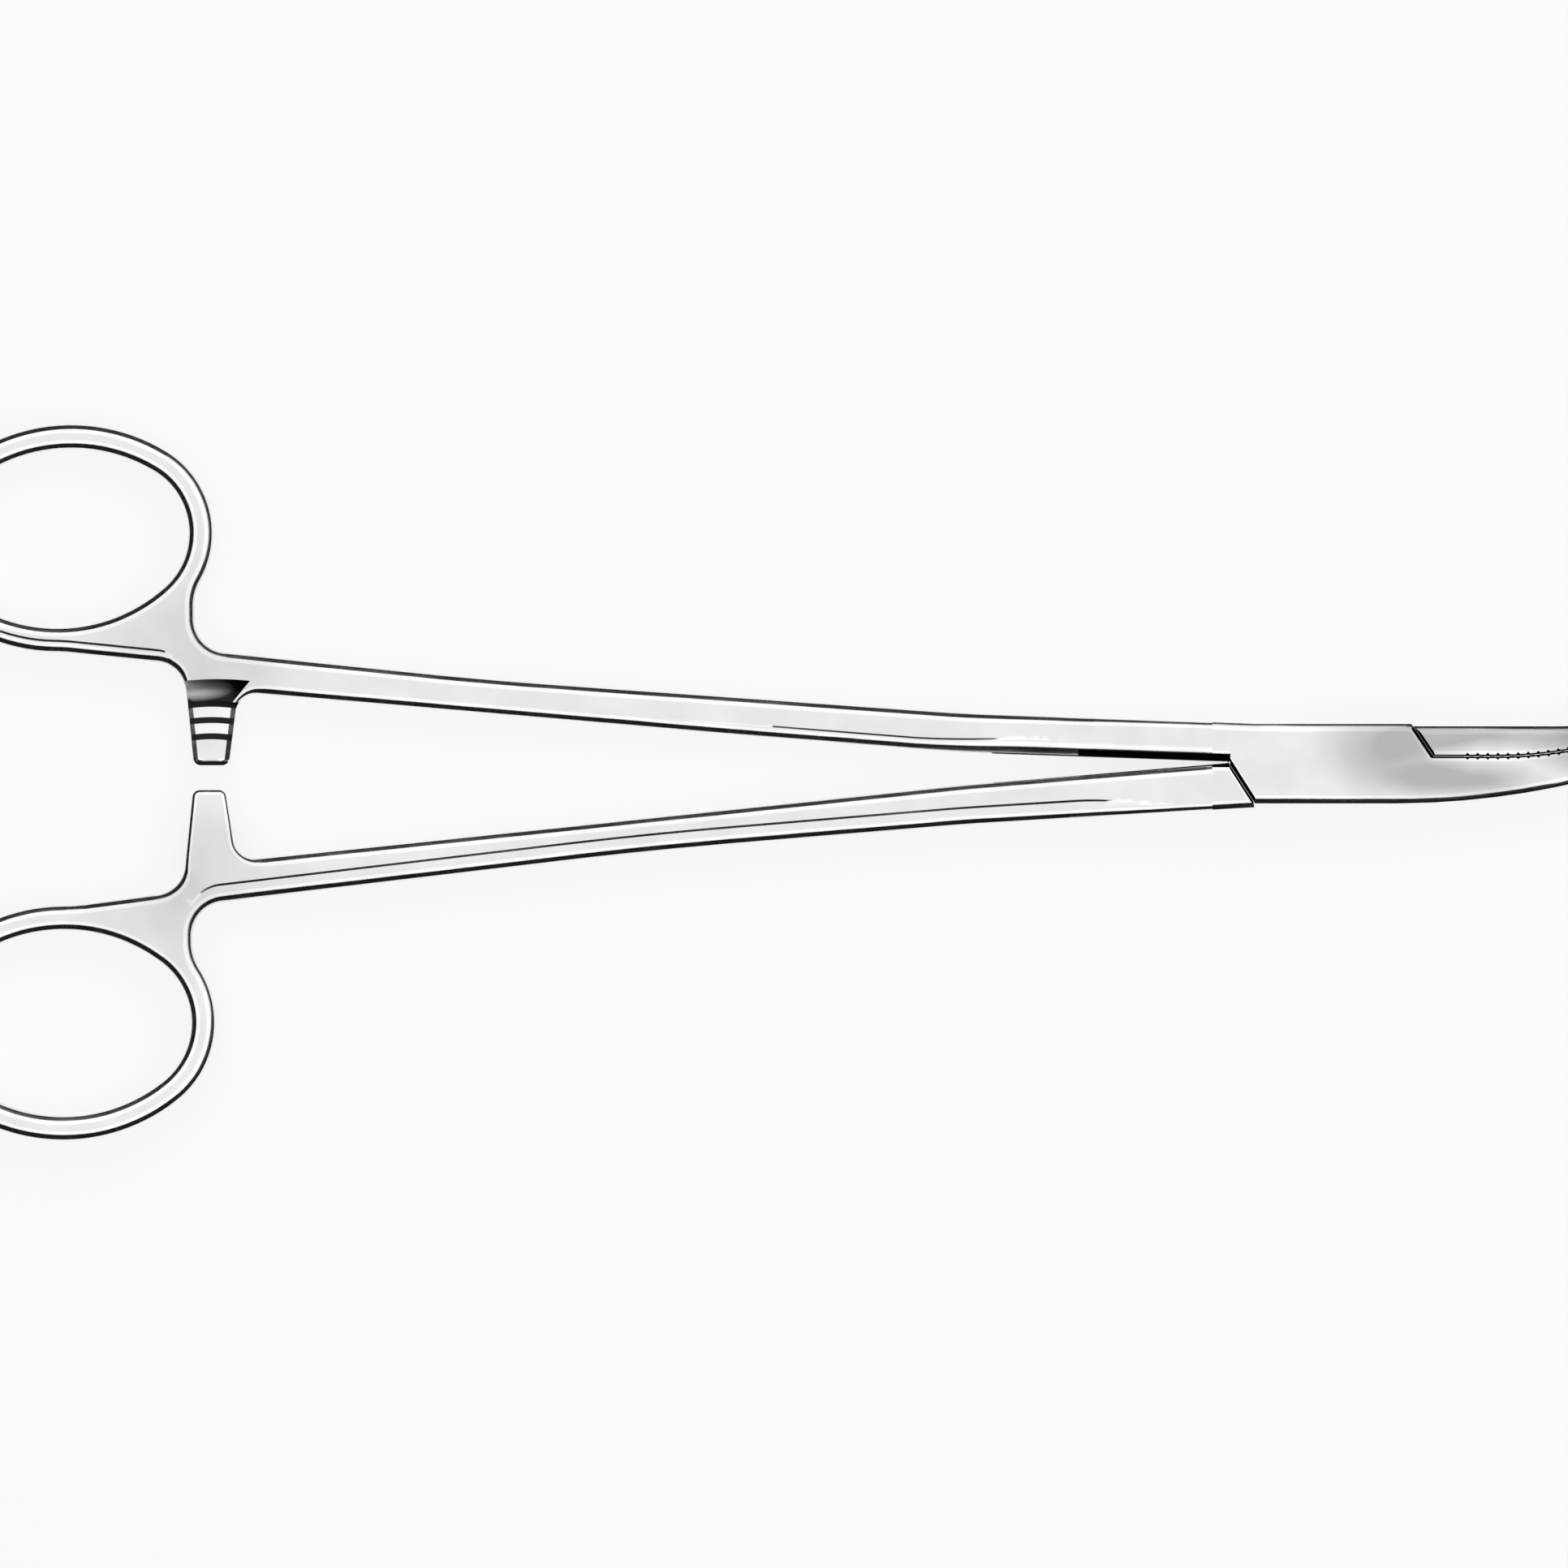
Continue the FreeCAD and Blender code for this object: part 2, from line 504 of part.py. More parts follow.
def rounding_at(x):
    """Return the rounding of the rims at X: full on the handle, falling along the flare."""
    wall = min(measure("Size.ring_band"), measure("Size.handle_thickness"))
    full = min(measure("Size.edge_round"), 0.48 * wall)
    slight = min(measure("Size.box_edge_round"), full)
    start, end = measure("Size.kink_x"), measure("Size.flare_end_x")
    share = min(max((x - start) / (end - start), 0), 1)
    return full + (slight - full) * share


def is_rim(shape, edge, bite_way):
    """Tell whether the edge is a rim to be rounded, between a face and an outer side.

    bite_way is the sign of Y in which this half's bite face looks; that face keeps its edges.
    """
    middle = edge.valueAt((edge.FirstParameter + edge.LastParameter) / 2)
    faces = shape.ancestorsOfType(edge, Part.Face)
    normals = [face.normalAt(*face.Surface.parameter(middle)) for face in faces]
    side, flat = sorted(normals, key=lambda normal: abs(normal.z))
    if abs(flat.z) < 0.9 or abs(side.z) > 0.2:
        return False
    if middle.x > measure("Size.front_inner_x"):
        return side.y * bite_way < 0.5
    if middle.x > measure("Size.rear_inner_x"):
        long_side = measure("Size.box_half_width - 2 * Size.tongue_inset")
        return abs(side.y) > 0.9 and (abs(middle.y) > long_side or side.y * bite_way < 0)
    return True


def rounded_half(name, blank, bite_way):
    """Round the blank's rims and start the body that carries the machining."""
    shape = blank.Shape
    rims = []
    for index, edge in enumerate(shape.Edges, start=1):
        if len(shape.ancestorsOfType(edge, Part.Face)) == 2 and is_rim(shape, edge, bite_way):
            ends = edge.Vertexes[0].Point.x, edge.Vertexes[-1].Point.x
            rims.append((index, rounding_at(ends[0]), rounding_at(ends[1])))
    fillet = doc.addObject("Part::Fillet", f"{name}_rounded")
    fillet.Base = blank
    fillet.Edges = rims
    doc.recompute()
    body = doc.addObject("PartDesign::Body", name)
    body.Label = name
    body.BaseFeature = fillet
    body.setExpression("Placement.Base.z", "Size.box_thickness / 2")
    doc.recompute()
    return body


def bore(body, name, corners):
    """Turn the profile, a list of (radius, height), out of the body about the pivot axis."""
    sketch = new_sketch(body, f"{name}Profile", "XZ_Plane")
    outline(sketch, corners)
    before = body.Shape.Volume
    groove = body.newObject("PartDesign::Groove", name)
    groove.Profile = sketch
    groove.ReferenceAxis = (sketch, ["V_Axis"])
    groove.Angle = 360
    doc.recompute()
    check_cut(body, name, before)


def cut_ratchet(body, end_y, way):
    """Mill the ratchet into the arm: a ramp down from one face, then teeth toward the arm's end.

    way is 1 for the arm that points down and has its teeth up, and -1 for the other arm.
    """
    crest = f"{way} * Size.tooth_overlap"
    root = f"{way} * (Size.tooth_overlap - Size.tooth_height)"
    clear = f"{way} * (Size.handle_thickness / 2 + 1)"
    first = f"{end_y} + {way} * Size.tooth_reach"
    top = f"{first} + {way} * Size.ramp_length"
    corners = [
        (top, clear),
        (top, f"{way} * Size.handle_thickness / 2"),
        (f"{top} - {way} * (Size.ramp_length / 2)", root, "Size.ramp_radius"),
        (first, root),
    ]
    for tooth in range(int(measure("Size.tooth_count"))):
        corners.append((f"{first} - {way} * {tooth} * Size.tooth_pitch", crest))
        corners.append((f"{first} - {way} * {tooth + 1} * Size.tooth_pitch", root))
    past = f"{end_y} - {way} * Size.arm_corner_radius"
    corners += [(past, root), (past, clear)]
    sketch = new_sketch(body, "RatchetProfile", "YZ_Plane", (0, 0, "Size.ratchet_side_x"))
    outline(sketch, corners)
    add_pocket(body, "Ratchet", sketch, "Size.ratchet_width", both_ways=False)


def cut_serration(body, bite_way):
    """Cut one groove where the bite line starts to bend, and repeat it along both of its runs."""
    bend = "atan((Size.tip_y - Size.bite_y) / (Size.tip_x - Size.bite_bend_x))"
    start = f"Size.bite_bend_x - Size.bite_radius * tan({bend} / 2)"
    centre_y = f"Size.bite_y - {bite_way} * Size.bite_gap / 2 + Size.bite_radius"
    sketch = new_sketch(body, "GrooveProfile", "XY_Plane", (start, centre_y, 0))
    slope = "2 * Size.serration_depth / Size.serration_width"
    mouth = f"-Size.bite_radius + {bite_way} * Size.bite_gap"
    half = f"(Size.serration_width / 2 + Size.bite_gap / ({slope}))"
    outline(sketch, [
        ("0", f"-Size.bite_radius - {bite_way} * Size.serration_depth"),
        (half, mouth),
        (f"-{half}", mouth),
    ])
    groove = add_pocket(body, "JawGroove", sketch, "Size.box_thickness")
    before = body.Shape.Volume
    row = body.newObject("PartDesign::LinearPattern", "StraightGrooves")
    row.Originals = [groove]
    row.Direction = (sketch, ["H_Axis"])
    row.Reversed = True
    row.Mode = "Spacing"
    row.setExpression("Offset", "Size.serration_pitch")
    row.Occurrences = int(measure(f"({start} - Size.serration_start_x) / Size.serration_pitch")) + 1
    body.Tip = row
    doc.recompute()
    check_cut(body, row.Name, before)
    before = body.Shape.Volume
    fan = body.newObject("PartDesign::PolarPattern", "BendGrooves")
    fan.Originals = [groove]
    fan.Axis = (sketch, ["N_Axis"])
    fan.Mode = "Spacing"
    fan.setExpression("Offset", "Size.serration_pitch / Size.bite_radius * 180 / pi")
    fan.Occurrences = int(measure(f"Size.bite_radius * {bend} * pi / 180 / Size.serration_pitch")) + 1
    body.Tip = fan
    doc.recompute()
    check_cut(body, fan.Name, before)


def pin_profile(past):
    """Return the pin's profile as (radius, height); past is how far its ends run on, for the bore."""
    ends = []
    for sign in ("-", ""):
        face = f"{sign}(Size.box_thickness / 2)"
        head = [("Size.pin_head_diameter / 2", face)]
        if past:
            head.append(("Size.pin_head_diameter / 2", f"{sign}(Size.box_thickness / 2 + {past})"))
        waist = ("Size.pin_diameter / 2", f"{sign}(Size.box_thickness / 2 - Size.pin_head_depth)")
        end = [("0", head[-1][1])] + head[::-1] + [waist]
        ends += end if sign else end[::-1]
    return ends


# Box half: upper ring and shank, box with its window, lower jaw.
box_blank = forging("box_half", BOX_HALF_OUTLINE, UPPER_RING, "Size.upper_neck_x", "-")
box_half = rounded_half("box_half", box_blank, 1)

upper_reach = (
    f"({UPPER_START[1]} * cos(Size.flank_angle) - {UPPER_START[0]} * sin(Size.flank_angle)"
    " + Size.flank_gap)"
)
lower_reach = (
    f"({LOWER_START[0]} * sin(Size.lower_flank_angle) - {LOWER_START[1]} * cos(Size.lower_flank_angle)"
    " + Size.flank_gap)"
)


def wall_corner(reach, normal):
    """Return the point of a window wall: where the shut and the open flank's lines cross."""
    away = f"{reach} / cos(Size.opening_angle / 2)"
    way = f"({normal} + Size.opening_angle / 2)"
    return f"{away} * cos({way})", f"{away} * sin({way})"


def line_at(reach, normal, y):
    """Return X at this height of the line whose foot lies at this reach and angle."""
    return f"({reach} - ({y}) * sin({normal})) / cos({normal})"


upper_normal = "(90 + Size.flank_angle)"
lower_normal = "(Size.lower_flank_angle - 90)"
outside = "(Size.box_half_width + 1)"
window_sketch = new_sketch(box_half, "WindowOutline")
outline(window_sketch, [
    wall_corner(upper_reach, upper_normal),
    (line_at(upper_reach, f"({upper_normal} + Size.opening_angle)", outside), outside),
    ("Size.front_inner_x + 5", outside),
    (line_at(lower_reach, lower_normal, "Size.bite_y + 1"), "Size.bite_y + 1"),
    wall_corner(lower_reach, lower_normal),
    (line_at(lower_reach, f"({lower_normal} + Size.opening_angle)", f"-{outside}"), f"-{outside}"),
    ("Size.rear_inner_x - 3", f"-{outside}"),
    (line_at(upper_reach, upper_normal, "Size.rear_inner_y - 1"), "Size.rear_inner_y - 1"),
])
add_pocket(box_half, "Window", window_sketch, "Size.tongue_thickness + 2 * Size.tongue_gap")
bore(box_half, "PinHole", pin_profile(1))
cut_ratchet(box_half, "Size.upper_arm_end_y", 1)
cut_serration(box_half, 1)

# Tongue half: lower ring and shank, thin tongue through the window, upper jaw.
tongue_blank = forging("tongue_half", TONGUE_HALF_OUTLINE, LOWER_RING, "Size.lower_neck_x", "")
tongue_half = rounded_half("tongue_half", tongue_blank, -1)
recess_reach = "(Size.box_half_width + Size.shank_proud + 1)"
for sign in (1, -1):
    level = f"{sign} * Size.tongue_thickness / 2"
    recess = new_sketch(tongue_half, f"RecessOutline{sign % 3}", "XY_Plane", (0, 0, level))
    outline(recess, [
        (rear_line(f"-{recess_reach}"), f"-{recess_reach}"),
        (front_line(f"-{recess_reach}"), f"-{recess_reach}"),
        (front_line(recess_reach), recess_reach),
        (rear_line(recess_reach), recess_reach),
    ])
    deep = "Size.box_thickness"
    add_pocket(tongue_half, f"Recess{sign % 3}", recess, deep, both_ways=False, reverse=sign > 0)
running_radius = "Size.pin_diameter / 2 + Size.pin_gap"
bore(tongue_half, "PinBore", [
    ("0", "-Size.tongue_thickness"),
    (running_radius, "-Size.tongue_thickness"),
    (running_radius, "Size.tongue_thickness"),
    ("0", "Size.tongue_thickness"),
])
cut_ratchet(tongue_half, "Size.lower_arm_end_y", -1)
cut_serration(tongue_half, -1)

# Pivot pin: pressed through both walls of the box, peened and ground flush.
pivot_pin = doc.addObject("PartDesign::Body", "pivot_pin")
pivot_pin.Label = "pivot_pin"
pivot_pin.setExpression("Placement.Base.z", "Size.box_thickness / 2")
pin_sketch = new_sketch(pivot_pin, "PinProfile", "XZ_Plane")
outline(pin_sketch, pin_profile(0))
turned = pivot_pin.newObject("PartDesign::Revolution", "Turned")
turned.Profile = pin_sketch
turned.ReferenceAxis = (pin_sketch, ["V_Axis"])
turned.Angle = 360
doc.recompute()

for item in doc.Objects:
    if {"Invalid", "Error"} & set(item.State):
        raise RuntimeError(f"{item.Name} did not compute")
    if item.isDerivedFrom("Part::Feature") and item.TypeId != "Sketcher::SketchObject":
        if item.Shape.isNull() or not item.Shape.isValid():
            raise RuntimeError(f"{item.Name} has no sound shape")
for half in (box_half, tongue_half, pivot_pin):
    if len(half.Shape.Solids) != 1:
        raise RuntimeError(f"{half.Label} is not one solid")
    half.Shape.exportStep(f"parts/{half.Label}.step")
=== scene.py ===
"""Needle holder: visual pieces, finishes and stage, laid out as an add-on and run as a script."""

import math

import bmesh
import bpy
import numpy as np
from bpy.props import FloatProperty, FloatVectorProperty, IntProperty, PointerProperty
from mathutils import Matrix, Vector
from mathutils.geometry import delaunay_2d_cdt


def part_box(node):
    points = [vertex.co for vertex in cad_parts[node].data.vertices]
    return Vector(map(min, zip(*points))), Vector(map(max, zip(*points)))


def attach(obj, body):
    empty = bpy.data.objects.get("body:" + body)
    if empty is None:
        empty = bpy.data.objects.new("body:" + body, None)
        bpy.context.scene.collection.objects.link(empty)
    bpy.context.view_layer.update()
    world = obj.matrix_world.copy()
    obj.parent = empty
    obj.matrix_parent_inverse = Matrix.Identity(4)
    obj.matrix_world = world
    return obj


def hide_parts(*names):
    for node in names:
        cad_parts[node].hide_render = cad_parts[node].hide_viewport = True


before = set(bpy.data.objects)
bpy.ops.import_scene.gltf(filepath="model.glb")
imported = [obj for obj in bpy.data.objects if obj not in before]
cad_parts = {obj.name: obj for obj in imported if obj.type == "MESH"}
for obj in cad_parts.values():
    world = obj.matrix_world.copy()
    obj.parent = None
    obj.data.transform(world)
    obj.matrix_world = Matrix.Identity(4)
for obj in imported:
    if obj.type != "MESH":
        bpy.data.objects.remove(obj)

bl_info = {
    "name": "Needle holder",
    "version": (1, 0, 0),
    "blender": (4, 5, 0),
    "location": "View3D > Sidebar > Needle holder",
    "description": "Visual pieces, finishes and stage of a box-lock needle holder",
    "category": "Object",
}

MM = 0.001
MID = (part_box("box_half")[0][2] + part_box("box_half")[1][2]) / 2 / MM

# Plan of the handles in mm, as complex numbers x + y*1j, at the handles' outer surface.
# The lower handle is drawn with its Y turned over, so that both lie above the X axis.
UPPER = {
    "way": 1,
    "outer": [(-43.4 + 6.0j, 250), (-100 + 10j, 600)],
    "ends": (-14 + 4.892j, -14 + 0.3137j),
    "neck": -134.35 + 13.5j,
    "ring": (-149.66 + 26.65j, 29.4, 21.1, 8.5, 5.6),
    "web": (-154 + 13.57j, -135.6 + 11.75j),
    "arm": (-134.4 - 0.19j, -130.3 - 0.19j, -129.2 + 8.45j),
    "inner": [(-72 + 3.55j, 600), (-43.4 + 1.3j, 250)],
}
LOWER = {
    "way": -1,
    "outer": [(-43.4 + 7.25j, 250), (-80.5 + 10.35j, 600)],
    "ends": (-14 + 5.454j, -14 + 0.0767j),
    "neck": -134.6 + 16.75j,
    "ring": (-149.76 + 30.66j, 30.1, 22.0, 8.9, -0.5),
    "web": (-154 + 17.45j, -135.7 + 15.1j),
    "arm": (-134.5 + 3.07j, -130.6 + 3.07j, -129.3 + 11.45j),
    "inner": [(-43.4 + 2.5j, 250)],
}
BAND = 2.9
NECK_BLEND, WEB_BLEND = 6.0, 25.0
NECK_RADIUS, WEB_RADIUS, ROOT_RADIUS, ARM_RADIUS = 4.0, 3.8, 2.4, 0.9

# Plan of the box lock's visible joints in mm: behind the box, and in front of it along the bite.
# The dark bar of painted shadow under the serration starts past the bite's smooth heel and ends before
# the tip.
REAR_JOINT = [(-12.25 + 0.5j, 0), (-8.6 - 5.2j, 0)]
FRONT_JOINT = [(9.1 + 5.3j, 0), (12.1 + 0.86j, 0)]
BITE = [(11.9 + 0.86j, 0), (30 + 0.86j, 49), (42.9 + 6.51j, 0)]
BITE_SHADOW_PATH = [(15.7 + 0.86j, 0), BITE[1], (42.0 + 6.1j, 0)]

# Plan of the outer edges of box and jaws in mm, with corner radii; the steel lies on their left.
LOW_EDGE = [(-9.5 - 4.7j, 0), (18.46 - 4.7j, 96), (36.3 - 0.58j, 26), (43.6 + 4.4j, 0)]
HIGH_EDGE = [(43.4 + 8.2j, 0), (33.2 + 4.42j, 32), (9.0 + 4.42j, 0)]
BOX_EDGE = [(10.2 + 4.7j, 0), (-8.9 + 4.7j, 0.5), (-14.2 + 4.9j, 0)]
CROTCH_EDGES = [(-14.2 + 0.32j, 0), (-11.9 + 0.25j, 0)], [(-11.9 + 0.07j, 0), (-14.2 + 0.077j, 0)]
TONGUE_EDGE = [(-14.2 - 5.45j, 0), (-8.8 - 5.14j, 0)]

# Slopes of the ground flats: tan 15 degrees for the lands, tan 40 for the bevels, and a tooth's side.
LAND_SLOPE, BEVEL_SLOPE, TOOTH_SLOPE = 0.268, 0.84, 0.85

# Thickness of box and jaws in mm: half of it at the box, and its loss over a length from a start in X.
BOX_HALF, JAW_TAPER, TAPER_START, TAPER_LENGTH = 3.3, 1.6, 8, 37.4

# Inset of the forging line from the edge in mm, for the upper edges and for the lower shank.
LINE_INSET, LOW_LINE_INSET = 1.22, 1.9

# Soft oval patches in mm: centre, half axes and, for the grey ones, their share.
# The grey patches on box, jaws and webs and the dark one toward the jaw tips are painted shade; the
# scoop's is a painted highlight.
PAINTED_SHADE_PATCHES = [
    ((7.5, 2.0, 6.6), (10, 7, 9), 1.2),
    ((16, -1.9, 6.6), (11, 2.6, 9), 1.25),
    ((17, 3.4, 6.6), (12, 2.0, 9), 1.1),
    ((-134, 12, 5.4), (15, 13, 9), 0.45),
    ((-135, -16, 5.4), (15, 13, 9), 0.45),
]
TIP_SHADE_PATCH = (35, 3.2, 6.0), (14, 6, 9)
SCOOP_LIGHT_PATCH = (-135.0, 8.9, 4.4), (5.5, 1.6, 9)

# Places of the finishes in the pieces' material slots.
# The milled slot's dark colour is painted shade. The joint slot darkens real joints and is also painted
# shade over the crotch and on the bar behind the bite.
STEEL, MILLED_SHADE, OILED_AND_SHADED = 0, 1, 2

# Middle of the photographed stretch in mm.
VIEW_X, VIEW_Y = -64.6, -2.4


def linear(hex_colour):
    """Return the linear RGBA of an sRGB colour written as #rrggbb."""
    parts = np.array([int(hex_colour[i:i + 2], 16) for i in (1, 3, 5)]) / 255
    curve = np.where(parts <= 0.04045, parts / 12.92, ((parts + 0.055) / 1.055) ** 2.4)
    return (*curve.tolist(), 1.0)


def length_size(name, text, default, high):
    """Return a length setting, given in mm."""
    return FloatProperty(
        name=name, description=text, default=default * MM, min=0.01 * MM, max=high * MM,
        precision=5, subtype="DISTANCE", unit="LENGTH")


def colour_size(name, text, default):
    """Return a colour setting, given as an sRGB colour."""
    return FloatVectorProperty(
        name=name, description=text, default=linear(default), size=4, min=0, max=1, subtype="COLOR")


class EdgeSizes(bpy.types.PropertyGroup):
    """Sizes of the handles' ground edges."""

    crown: length_size("Crown", "Radius of the soft crown between face and bevel", 1.2, 1.6)
    bevel: length_size("Bevel", "Width of the bevel ground along each edge", 0.5, 0.8)
    small: length_size("Side radius", "Radius between the bevel and the upright side", 0.5, 0.9)
    line_width: length_size("Forging line", "Width of the step at a forging line", 0.25, 0.5)
    line_depth: length_size("Line depth", "Depth of the step at a forging line", 0.16, 0.3)


class RatchetSizes(bpy.types.PropertyGroup):
    """Sizes of the ratchet milled into the arms."""

    first: length_size("First tooth", "Distance from the arm's end to the first flank", 7.44, 9)
    pitch: length_size("Pitch", "Distance from tooth to tooth", 1.92, 2.1)
    teeth: IntProperty(name="Teeth", description="Number of teeth", default=3, min=1, max=4)
    flank: length_size("Flank", "Length of a tooth's steep flank, in plan", 0.72, 1.2)
    rise: length_size("Rise", "Height of a tooth", 0.36, 1.2)
    scoop: length_size("Scoop", "Length of the cutter's run-out above the teeth", 2.55, 3.5)
    arch: length_size("Arch", "Height of the arc that the cutter leaves across the arm", 0.2, 0.5)
    side: length_size("Side", "Width of the bevel along the arm's sides", 0.56, 0.8)


class JointSizes(bpy.types.PropertyGroup):
    """Sizes of the dark joints of the box lock."""

    seam: FloatProperty(
        name="Seam", description="Place of the plane between handle and box, along X",
        default=-14 * MM, min=-15 * MM, max=-13 * MM, precision=5, subtype="DISTANCE", unit="LENGTH")
    lap: length_size("Lap", "Width of the broken edges where the halves lap", 0.7, 1.2)
    bite: length_size("Bite", "Width of the broken edges where the jaws meet", 0.44, 0.9)
    low_bevel: length_size("Lower bevel", "Width of the bevel along the lower edges", 0.52, 0.9)
    high_bevel: length_size("Upper bevel", "Width of the bevel along the upper edges", 0.5, 0.9)
    crotch: length_size("Crotch", "Width of the bevel over the crotch behind the box", 0.85, 1.2)
    land: length_size("Land", "Width of the slanting land beside a bevel or the bite", 0.5, 1.0)
    # Bite root sets how far the bar of painted shadow behind the bite reaches into each jaw.
    root: length_size("Bite root", "Depth of the serration's root in each jaw", 0.45, 0.8)


class FinishSettings(bpy.types.PropertyGroup):
    """Colours and gloss of the steel."""

    steel: colour_size("Steel", "Colour of the buffed steel", "#f5f5f4")
    # This colour is a random cloudiness in the steel, and also painted shade in fixed patches on box,
    # jaws and webs.
    haze_and_painted_shade: colour_size("Haze", "Colour of the steel where the buffing left it cloudy", "#bdbdbc")
    # Jaw shade is a painted dark reflection on the steel toward the jaw tips.
    shade: colour_size("Jaw shade", "Colour of the steel toward the jaw tips", "#3c3c3d")
    # The flank colour is painted shade on the ratchet's steep flanks and scoop and on the walls beside
    # the bite.
    flank: colour_size("Flanks", "Colour of the milled flanks, left unpolished", "#2b2b2c")
    # The joint colour is also painted shade over the crotch and on the bar behind the bite.
    joint: colour_size("Joints", "Colour of the oiled joints", "#060606")
    smooth: FloatProperty(name="Low roughness", description="Roughness of the brightest streaks",
                          default=0.12, min=0, max=1, subtype="FACTOR")
    rough: FloatProperty(name="High roughness", description="Roughness of the dullest streaks",
                         default=0.22, min=0, max=1, subtype="FACTOR")


class StudioSettings(bpy.types.PropertyGroup):
    """Camera, light and background."""

    distance: FloatProperty(name="Distance", description="Height of the camera above the object",
                            default=2.0, min=0.5, max=5, subtype="DISTANCE", unit="LENGTH")
    width: FloatProperty(name="Width", description="Width of the picture at the object",
                         default=0.18547, min=0.05, max=1, subtype="DISTANCE", unit="LENGTH")
    top: FloatProperty(name="Top light", description="Radiance of the dome overhead",
                       default=0.92, min=0, max=2)
    around: FloatProperty(name="Side light", description="Radiance of the dome around the top",
                          default=1.14, min=0, max=2)
    card_low: FloatProperty(
        name="Low cards", description="Elevation of the black cards on the light side",
        default=math.radians(21), min=0, max=1, subtype="ANGLE", unit="ROTATION")
    card_high: FloatProperty(
        name="High cards", description="Elevation of the black cards on the dark side",
        default=math.radians(40), min=0, max=1, subtype="ANGLE", unit="ROTATION")
    card_side: FloatProperty(name="Dark side", description="Direction of the highest card",
                             default=math.radians(238), min=0, max=7, subtype="ANGLE", unit="ROTATION")
    paper: FloatProperty(
        name="Backlight", description="Share of the floor's white that comes from behind",
        default=0.8, min=0, max=1, subtype="FACTOR")


def add_node(tree, kind, inputs=None, **settings):
    """Add a node, set its properties, and fill or link its inputs by name or number."""
    node = tree.nodes.new(kind)
    for key, value in settings.items():
        setattr(node, key, value)
    for key, value in (inputs or {}).items():
        if isinstance(value, bpy.types.NodeSocket):
            tree.links.new(value, node.inputs[key])
        else:
            node.inputs[key].default_value = value
    return node


def new_material(name):
    """Return an empty node material and its tree."""
    material = bpy.data.materials.new(name)
    material.use_nodes = True
    material.node_tree.nodes.clear()
    return material, material.node_tree


def patch(tree, place, centre, halves):
    """Return a soft oval patch: 1 - |(p - c) / h| for centre c and half axes h, in mm."""
    scale = [1 / (h * MM) for h in halves]
    shift = [-c * MM * s for c, s in zip(centre, scale)]
    local = add_node(tree, "ShaderNodeMapping", {"Vector": place, "Location": shift, "Scale": scale})
    oval = add_node(
        tree, "ShaderNodeTexGradient", {"Vector": local.outputs[0]}, gradient_type="SPHERICAL")
    return oval.outputs["Fac"]


def buffed_steel(finish):
    """Stainless steel, drop forged, belt ground and buffed to a soft shine.

    Buffing leaves faint streaks along the shanks, slow waves in the flats and a random cloudiness.
    Grey patches on the box, jaws and webs and a darker patch toward the jaw tips are painted shade,
    standing in for darker reflections. Real belt lines are near 0.03 mm apart; they are drawn
    0.2 mm apart so that they show.
    """
    material, tree = new_material("buffed_stainless_painted_shade")
    place = add_node(tree, "ShaderNodeTexCoord").outputs["Object"]
    streaks = add_node(tree, "ShaderNodeMapping", {"Vector": place, "Scale": (70, 4500, 4500)})
    grain = add_node(tree, "ShaderNodeTexNoise", {
        "Vector": streaks.outputs[0], "Scale": 1.0, "Detail": 3.0})
    waves = add_node(tree, "ShaderNodeTexNoise", {"Vector": place, "Scale": 90.0, "Detail": 1.0})
    clouds = add_node(tree, "ShaderNodeTexNoise", {"Vector": place, "Scale": 160.0, "Detail": 4.0})
    cloudy = add_node(tree, "ShaderNodeMapRange", {
        "Value": clouds.outputs["Fac"], "From Min": 0.35, "From Max": 0.75, "To Max": 0.22})
    cloud_and_shade = cloudy.outputs[0]
    # Painted shade: grey patches at fixed spots on the box, jaws and webs, on top of the random clouds.
    for centre, halves, share in PAINTED_SHADE_PATCHES:
        spot = patch(tree, place, centre, halves)
        more = add_node(tree, "ShaderNodeMath", {0: spot, 1: share, 2: cloud_and_shade}, operation="MULTIPLY_ADD")
        cloud_and_shade = more.outputs[0]
    # Painted shade: a dark reflection toward the jaw tips.
    tips = patch(tree, place, *TIP_SHADE_PATCH)
    tone = add_node(tree, "ShaderNodeMix", {0: cloud_and_shade, 6: finish.steel, 7: finish.haze_and_painted_shade}, data_type="RGBA")
    shade = add_node(tree, "ShaderNodeMix", {
        0: tips, 6: tone.outputs[2], 7: finish.shade}, data_type="RGBA")
    rough = add_node(tree, "ShaderNodeMapRange", {
        "Value": grain.outputs["Fac"], "To Min": finish.smooth, "To Max": finish.rough})
    slow = add_node(tree, "ShaderNodeBump", {
        "Height": waves.outputs["Fac"], "Strength": 1.0, "Distance": 0.0004})
    fine = add_node(tree, "ShaderNodeBump", {
        "Height": grain.outputs["Fac"], "Strength": 0.15, "Distance": 0.00001, "Normal": slow.outputs[0]})
    shader = add_node(tree, "ShaderNodeBsdfPrincipled", {
        "Base Color": shade.outputs[2], "Metallic": 1.0, "Roughness": rough.outputs[0],
        "Normal": fine.outputs[0]})
    add_node(tree, "ShaderNodeOutputMaterial", {"Surface": shader.outputs[0]})
    return material


